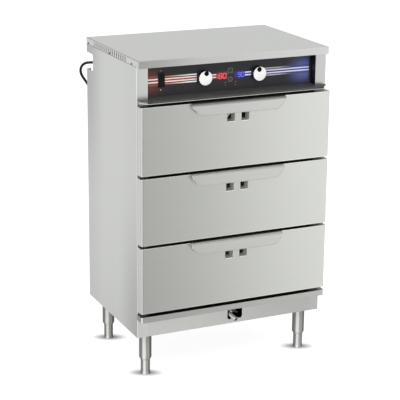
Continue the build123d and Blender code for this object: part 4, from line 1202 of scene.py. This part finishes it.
    def lamp(self) -> None:
        """Hangs the soft box and aims it at the cabinet; its places and sizes are in metres."""
        data = bpy.data.lights.new("main box", "AREA")
        data.shape = "RECTANGLE"
        data.size, data.size_y = self.lamp_size
        data.energy = self.lamp_power
        light = new_object("main box", data)
        light.location = self.lamp_place
        light.rotation_mode = "QUATERNION"
        aim = Vector(self.lamp_target) - Vector(self.lamp_place)
        light.rotation_quaternion = aim.to_track_quat("-Z", "Y")


@dataclass
class MainsCord:
    """The mains cord with its gland, strain relief, coil and plug."""

    diameter: float = 9.3
    length: float = 2.2
    back_outside: float = 381.2
    gland_end: float = 424.0
    gland_ribs: int = 5
    nut_radius: float = 14.0
    coil_radius: float = 56.5
    coil_pitch: float = 10.2
    coil_layer: float = 10.2
    coil_end_radius: float = 78.0
    coil_half_turns: int = 6
    points_a_turn: int = 16
    blade: Point = (16.5, 1.5, 6.4)
    blade_spacing: float = 6.3
    plug_face: float = 42.0
    earth_drop: float = 7.5
    route: tuple[Point, ...] = (
        (-325, 220.2, 1022), (-325, 246, 1022), (-331, 268, 1018), (-339, 294, 1013),
        (-345, 315, 1002), (-348.5, 328, 985), (-346, 329, 966), (-338, 320, 950),
        (-325, 300, 925), (-313, 275, 880), (-304, 257, 812), (-284, 248, 715),
        (-263, 246, 590), (-244, 247, 456), (-225, 250, 320), (-207, 257, 212),
        (-194, 261, 131), (-185, 264, 86), (-178, 266, 55), (-163, 270, 31.5),
        (-141, 273, 14.8), (-114, 276, 5), (-82, 278, 5), (-50, 278, 5),
    )

    def coil_point(self, half: float) -> Vector:
        """Finds the coil's middle line, which has two layers that reverse halfway.

        Args:
            half: number of half turns from the coil's start.

        Returns:
            The point.
        """
        turned = math.pi * half
        reversal, last = self.coil_half_turns / 2, self.coil_half_turns - 1
        inner = self.coil_radius - self.coil_pitch * reversal / 2
        if half <= reversal:
            radius = self.coil_radius - self.coil_pitch * half / 2
        elif half <= last:
            radius = inner + self.coil_pitch * (half - reversal) / 2
        else:
            step = half - last
            start = inner + self.coil_pitch * (last - reversal) / 2
            radius = start + (self.coil_end_radius - start) * step ** 2 * (3 - 2 * step)
        rise = min(max(half - reversal + 0.5, 0.0), 1.0)
        height = self.coil_layer * rise ** 2 * (3 - 2 * rise)
        centre = Vector(self.route[-1]) + Vector((self.diameter, self.coil_radius, 0))
        return centre + Vector((radius * math.sin(turned), -radius * math.cos(turned), height))

    def build(self) -> None:
        """Draws the cord as one spline and puts its fittings on it."""
        half_turn_points = self.points_a_turn // 2
        coil = [self.coil_point(n / half_turn_points)
                for n in range(self.coil_half_turns * half_turn_points + 1)]
        end = coil[-1] + Vector((self.diameter, 0, 0))
        cord = shop.strand("mains_cord", [*self.route, *coil, end], self.diameter / 2, JACKET, "cabinet",
                           kind="NURBS", rounds=5)
        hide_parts("power_cord", "cord_coil")
        plug = self.plug(end)
        relief = self.gland()
        log.info("mains cord built")

    def gland(self) -> bpy.types.Object:
        """Makes the ribbed, tapered strain relief and its nut, in place of the plain gland.

        Returns:
            The strain relief.
        """
        x, _, z = self.route[0]
        reach = self.gland_end - self.back_outside
        profile = [(10.0, -8.0), (10.0, 0.0), (13.6, 0.0), (14.0, 0.6), (14.0, 4.4), (13.4, 5.0), (12.0, 5.2)]
        start = 7.0
        pitch = (reach - start) / self.gland_ribs
        for n in range(self.gland_ribs):
            low, high = start + pitch * n, start + pitch * (n + 0.7)
            wide = 11.8 - 5.0 * n / self.gland_ribs
            profile += [(wide, low), (wide - 0.6, high), (wide - 1.9, high + 0.4), (wide - 2.0, high + 1.6)]
        profile += [(6.2, reach - 0.4), (5.6, reach)]
        relief = shop.lathe("strain_relief", profile, (x, behind(self.back_outside), z), (0, 1, 0),
                            BLACK, "cabinet")
        corners = [math.tau * n / 6 for n in range(6)]
        nut = bmesh.new()
        shop.prism(nut, [(self.nut_radius * math.cos(turn) + x, self.nut_radius * math.sin(turn) + z)
                         for turn in corners], (self.back_outside - 6.2, self.back_outside - 1.2))
        shop.break_edges(shop.finish_mesh("gland_nut", nut, BLACK, "cabinet"), 0.2)
        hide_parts("cord_gland")
        return relief

    def plug(self, end: Vector) -> list[bpy.types.Object]:
        """Makes the moulded plug with its grip rings, two blades and an earth pin.

        Args:
            end: the cord's far end.

        Returns:
            Its pieces.
        """
        profile = [(5.2, -1.0), (6.9, 0.0), (7.1, 6.0), (9.0, 8.0), (11.6, 9.5), (11.8, 13.0), (14.2, 15.0),
                   (14.9, 18.0), (14.9, 21.0), (14.0, 22.0), (14.0, 24.0), (14.9, 25.0), (14.9, 28.0),
                   (14.0, 29.0), (14.0, 31.0), (14.9, 32.0), (14.9, 40.4), (13.6, 42.0)]
        grip = shop.lathe("plug_grip", profile, tuple(end), (1, 0, 0), BLACK, "cabinet")
        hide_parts("power_plug")
        pieces = [grip]
        for side, name in SIDES:
            work = bmesh.new()
            size = Matrix.Diagonal((*(Vector(self.blade) * MM), 1.0))
            out = self.plug_face + self.blade[0] / 2 - 0.5
            middle = (end + Vector((out, side * self.blade_spacing, 0))) * MM
            bmesh.ops.create_cube(work, size=1.0, matrix=Matrix.Translation(middle) @ size)
            blade = shop.finish_mesh(f"plug_blade_{name}", work, VALVE_METAL, "cabinet")
            shop.break_edges(blade, 0.4)
            pieces.append(blade)
        pin = [(2.4, -0.5), (2.4, 17.4), (1.9, 18.6), (1.0, 19.0)]
        foot = tuple(end + Vector((self.plug_face, 0, -self.earth_drop)))
        pieces.append(shop.lathe("plug_earth_pin", pin, foot, (1, 0, 0), VALVE_METAL, "cabinet", steps=24))
        return pieces


@dataclass
class Carcass:
    """The outer sheet work: cover, sides, back, base and the fixed front pieces."""

    height: float = 1112.0
    overhang: float = 18.0
    lip: float = 25.4
    side_lip: float = 23.0
    panel_drop: float = 131.0
    hem_radius: float = 1.1
    seam_radius: float = 0.7
    seam_proud: float = 0.1
    corner_radius: float = 1.5
    sheets: tuple[tuple[str, Finish, float], ...] = (
        ("top_cover", COVER_STEEL, 0.5), ("side_panel_left", SIDE_STEEL, 0.5),
        ("side_panel_right", SIDE_STEEL, 0.5), ("front_skirt", SKIRT_STEEL, 0.4),
        ("bottom_trim", TRIM_STEEL, 0.5), ("back_panel", BACK_STEEL, 0.4), ("base_pan", ZINC, 0.35),
        ("cover_screws", SCREW_STEEL, 0.15),
    )

    def build(self) -> None:
        """Softens the folded sheets and adds the hems that catch the light and the painted shadow lines under
        the cover's sides.
        """
        for node, finish, edge in self.sheets:
            shop.soften(node, finish, edge)
        self.hems()
        log.info("carcass built")

    def hems(self) -> None:
        """Adds the hem of the cover's lip, the painted shadow lines along the seams under its sides and the
        bright stile corners.
        """
        low, front = self.height - self.lip + self.hem_radius, behind(self.hem_radius - self.overhang)
        edge = HALF_WIDTH - self.hem_radius
        shop.strand("cover_hem_front", [(-edge, front, low), (edge, front, low)], self.hem_radius,
                    BRIGHT_EDGE, "cabinet")
        side_low, corner = self.height - self.side_lip, self.corner_radius
        for side, name in SIDES:
            flush, out = side * (HALF_WIDTH - self.seam_proud), side * (HALF_WIDTH - corner)
            # A dark line of painted shadow along the seam under the cover's side
            seam = [(flush, behind(depth), side_low) for depth in (1.0, CABINET_DEPTH - 2)]
            shop.strand(f"cover_seam_{name}", seam, self.seam_radius, SEAM_SHADOW, "cabinet")
            upright = [(out, behind(corner), self.height - drop) for drop in (self.panel_drop, self.lip)]
            shop.strand(f"stile_corner_{name}", upright, corner, BRIGHT_EDGE, "cabinet")


@dataclass
class ControlPanel:
    """The recessed panel with its film, switch, knobs, keys and displays."""

    knobs: tuple[tuple[str, float, float, float], ...] = (
        ("heat_knob", -95.0, 3.0, 15.6), ("humidity_knob", 106.0, -2.0, 14.6),
    )
    knob_height: float = 1030.0
    knob_radius: float = 24.5
    knob_front: float = 17.0
    knob_back: float = 33.7
    knob_grooves: int = 5
    dimple_radius: float = 8.5
    displays: tuple[tuple[str, str, tuple[float, ...], Finish], ...] = (
        ("heat_digits", "180", (-56.5, -11.0, 1021.4, 1037.4), RED_LIGHT),
        ("humidity_digits", "90", (29.5, 55.5, 1021.8, 1036.6), BLUE_LIGHT),
    )
    digit_slant: float = 0.08
    digit_width: float = 0.72
    segment_half: float = 1.15
    segment_depths: Span = (PANEL_DEPTH - 0.35, PANEL_DEPTH + 0.05)
    lamps: tuple[tuple[str, float, float], ...] = (("heat_lamp", -15.3, 996.5), ("water_lamp", 22.3, 996.2))
    lamp_profile: tuple[Span, ...] = ((2.9, 0.0), (2.9, 0.25), (2.2, 0.7), (0.9, 0.95))
    ledge_low: float = 972.0
    ledge_proud: float = 36.0
    ledge_half_width: float = 346.0
    ledge_clip: float = 22.0
    hem_radius: float = 1.4

    def build(self) -> None:
        """Dresses the fixed parts, then builds the moving ones and the small ones."""
        shop.soften("control_plate", LEDGE_STEEL, edge=0.4)
        for node, finish in (("control_overlay", FILM), ("knob_encoders", BLACK), ("display_modules", LENS)):
            shop.dress(node, finish)
        for node, finish, edge in (("rocker_housing", HOUSING, 0.4), ("rocker", ROCKER_FACE, 0.6),
                                   ("key_upper", KEY_CAP, 0.3), ("key_lower", KEY_CAP, 0.3)):
            shop.soften(node, finish, edge)
        for node, x, dimple_right, dimple_up in self.knobs:
            self.knob(node, x, dimple_right, dimple_up)
        for name, digits, window, light in self.displays:
            self.number(name, digits, window, light)
        for name, x, z in self.lamps:
            shop.lathe(name, self.lamp_profile, (x, behind(PANEL_DEPTH), z), (0, -1, 0), AMBER_LIGHT,
                       "cabinet", steps=24)
        self.ledge_hem()
        log.info("control panel built")

    def ledge_hem(self) -> None:
        """Adds the rolled lower edge of the ledge's lip, with its clipped corners and a painted highlight."""
        front = behind(self.hem_radius - self.ledge_proud)
        side = self.ledge_half_width - self.hem_radius
        half = [(side, front + self.ledge_clip, self.ledge_low),
                (side - self.ledge_clip, front, self.ledge_low)]
        points = [(-x, y, z) for x, y, z in half] + half[::-1]
        shop.strand("ledge_hem", points, self.hem_radius, HEM_HIGHLIGHT, "cabinet")

    def knob(self, node: str, x: float, dimple_right: float, dimple_up: float) -> None:
        """Makes a black knob with a pale inlaid face and a dark finger dimple.

        Args:
            node: the CAD node that it replaces.
            x: place across the panel.
            dimple_right: the dimple's place right of the knob's middle.
            dimple_up: its place above the middle.
        """
        body, forward = shop.body_of(node), (0, -1, 0)
        thick, radius = self.knob_back - self.knob_front, self.knob_radius
        skirt = [(3.0, -12.3), (3.0, 0.0), (radius, 0.0), (radius, 1.4)]
        for n in range(self.knob_grooves):
            low = 2.2 + (thick - 5.0) * n / self.knob_grooves
            skirt += [(radius, low), (radius - 0.35, low + 0.4), (radius - 0.35, low + 0.9),
                      (radius, low + 1.3)]
        skirt += [(radius, thick - 1.2), (radius - 0.4, thick - 0.4), (radius - 0.5, thick - 0.2)]
        turned = shop.lathe(f"{node}_body", skirt, (x, behind(self.knob_back), self.knob_height), forward,
                            BLACK, body, steps=72)
        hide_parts(node)
        face, front, rim = radius - 0.5, behind(self.knob_front + 0.1), self.dimple_radius
        shop.lathe(f"{node}_face", [(face, -0.8), (face, -0.25), (face - 0.4, 0.0)],
                   (x, front, self.knob_height), forward, KNOB_FACE, body, steps=72)
        bowl = [(rim, -0.4), (rim, 0.1), (rim - 0.5, 0.2), (rim - 3.0, 0.12), (1.0, 0.08)]
        shop.lathe(f"{node}_dimple", bowl, (x + dimple_right, front, self.knob_height + dimple_up),
                   forward, DIMPLE_BLACK, body, steps=32)

    def number(self, name: str, digits: str, window: tuple[float, ...], light: Finish) -> None:
        """Makes seven-segment digits that fill a window.

        Args:
            name: name of the piece.
            digits: the digits to show.
            window: left, right, bottom and top.
            light: finish of the lit segments.
        """
        lit = {"0": "abcdef", "1": "bc", "8": "abcdefg", "9": "abcdfg"}
        left, right, bottom, top = window
        pitch, height = (right - left) / len(digits), top - bottom
        width, half = pitch * self.digit_width, height / 2
        spans = {
            "a": ((0, height), (width, height)), "g": ((0, half), (width, half)), "d": ((0, 0), (width, 0)),
            "f": ((0, half), (0, height)), "b": ((width, half), (width, height)),
            "e": ((0, 0), (0, half)), "c": ((width, 0), (width, half)),
        }
        work = bmesh.new()
        for place, digit in enumerate(digits):
            start = left + pitch * place + (pitch - width) / 2
            for key in lit[digit]:
                self.segment(work, start, bottom, spans[key])
        shop.finish_mesh(name, work, light, "cabinet")

    def segment(self, work: bmesh.types.BMesh, left: float, bottom: float, span: tuple[Span, Span]) -> None:
        """Adds one pointed segment, slanted as the digits are.

        Args:
            work: the mesh work.
            left: left of the digit.
            bottom: bottom of the digit.
            span: the segment's two ends, from the digit's lower left.
        """
        start, end = Vector(span[0]), Vector(span[1])
        way = (end - start).normalized() * self.segment_half
        side, inset = Vector((-way.y, way.x)), way * 0.35
        outline = [start + inset, start + inset + way + side, end - inset - way + side,
                   end - inset, end - inset - way - side, start + inset + way - side]
        slanted = [(left + p.x + p.y * self.digit_slant, bottom + p.y) for p in outline]
        shop.prism(work, slanted, self.segment_depths)


@dataclass
class Drawer:
    """One drawer: its front, handle, dampers, frame and pan."""

    level: str
    bottom: float
    window_size: float = 28.5
    window_spacing: float = 53.3
    window_drop: float = 44.5
    lip_inset: float = 0.4
    lip_radius: float = 1.3
    handle_half_width: float = 172.5
    handle_foot_half_width: float = 144.4
    handle_drop: float = 39.0
    handle_shoulder_drop: float = 9.0
    handle_corner: float = 36.0
    rim_radius: float = 1.8
    rim_start: float = 6.0
    corner_steps: int = 10
    parts: tuple[tuple[str, Finish, float], ...] = (
        ("drawer_front", FRONT_STEEL, 0.45), ("drawer_handle", HANDLE_STEEL, 0.4),
        ("drawer_liner", CORE, 0.4), ("vent_damper", DAMPER_STEEL, 0.2), ("drawer_carrier", ZINC, 0.3),
        ("food_pan", PAN_STEEL, 0.4), ("middle_rails", ZINC, 0.25),
    )

    def build(self) -> None:
        """Softens the drawer's parts and adds its bright edges."""
        for part, finish, edge in self.parts:
            # The top handle, under the ledge, takes the stronger painted reflection
            under_ledge = part == "drawer_handle" and self.level == DRAWER_LEVELS[-1]
            shop.soften(f"{self.level}_{part}", TOP_HANDLE_STEEL if under_ledge else finish, edge)
        self.window_lips()
        self.handle_rim()
        log.info("%s drawer built", self.level)

    def window_lips(self) -> None:
        """Adds the turned edge along the bottom of each vent window, with a painted highlight."""
        low = self.bottom + DRAWER_HEIGHT - self.window_drop - self.window_size - self.lip_inset
        depth, half = behind(-DRAWER_PROUD), self.window_size / 2 - self.lip_inset
        for side, name in SIDES:
            x = side * self.window_spacing / 2
            shop.strand(f"{self.level}_window_lip_{name}", [(x - half, depth, low), (x + half, depth, low)],
                        self.lip_radius, LIP_HIGHLIGHT, f"{self.level}_drawer")

    def handle_rim(self) -> None:
        """Adds the rolled bead round the handle's sides and lower edge, with painted reflections: light where
        it faces left, dark where it faces right, standing for the shadow line round the handle.
        """
        top = self.bottom + DRAWER_HEIGHT
        shoulder, foot = top - self.handle_shoulder_drop, top - self.handle_drop
        slope = math.atan2(self.handle_half_width - self.handle_foot_half_width, shoulder - foot)
        turn, corner = math.pi / 2 - slope, self.handle_corner
        centre = Vector((self.handle_foot_half_width - corner * math.tan(turn / 2), foot + corner))
        side = [(self.handle_half_width - math.sin(slope) * self.rim_start,
                 shoulder - math.cos(slope) * self.rim_start)]
        for n in range(self.corner_steps + 1):
            angle = turn * (1 - n / self.corner_steps)
            side.append((centre.x + corner * math.sin(angle), centre.y - corner * math.cos(angle)))
        depth = behind(self.rim_radius - DRAWER_PROUD - HANDLE_PROUD)
        outline = [(x, depth, z) for x, z in side] + [(-x, depth, z) for x, z in reversed(side)]
        shop.strand(f"{self.level}_handle_rim", outline, self.rim_radius, RIM_STEEL, f"{self.level}_drawer")


@dataclass
class Stand:
    """The four legs and their levelling feet, and the drain under the drawers."""

    parts: tuple[tuple[str, Finish, float], ...] = (
        ("leg_tubes", LEG_STEEL, 0.3), ("foot_fl", LEG_STEEL, 0.5), ("foot_fr", LEG_STEEL, 0.5),
        ("foot_bl", LEG_STEEL, 0.5), ("foot_br", LEG_STEEL, 0.5), ("drain_valve", VALVE_METAL, 0.3),
        ("drain_lever", LEVER_COAT, 0.8),
    )

    def build(self) -> None:
        """Softens the tubes, the feet and the drain."""
        for node, finish, edge in self.parts:
            shop.soften(node, finish, edge)
        log.info("stand built")


@dataclass
class Inside:
    """What works behind the drawers and the panel."""

    finishes: tuple[tuple[str, Finish], ...] = (
        ("inner_liner", INNER_STEEL), ("insulation", WOOL), ("cabinet_rails", ZINC),
        # The cross rails' black is painted shade for the gaps
        ("cross_rails", RAIL_SHADE), ("drawer_gaskets", GASKET), ("water_tank", INNER_STEEL),
        ("temperature_probe", ROD_STEEL), ("control_board", BOARD), ("power_supply", ZINC),
    )

    def build(self) -> None:
        """Gives every inner node its finish."""
        for node, finish in self.finishes:
            shop.dress(node, finish)
        shop.soften("heating_elements", ROD_STEEL, edge=0.3)
        log.info("inside dressed")


def main() -> None:
    """Builds the whole scene in order."""
    logging.basicConfig(level=logging.INFO, format="%(message)s")
    Studio().build()
    MainsCord().build()
    Carcass().build()
    ControlPanel().build()
    for count, level in enumerate(DRAWER_LEVELS):
        Drawer(level, FIRST_DRAWER + DRAWER_PITCH * count).build()
    Stand().build()
    Inside().build()


if __name__ == "__main__":
    main()
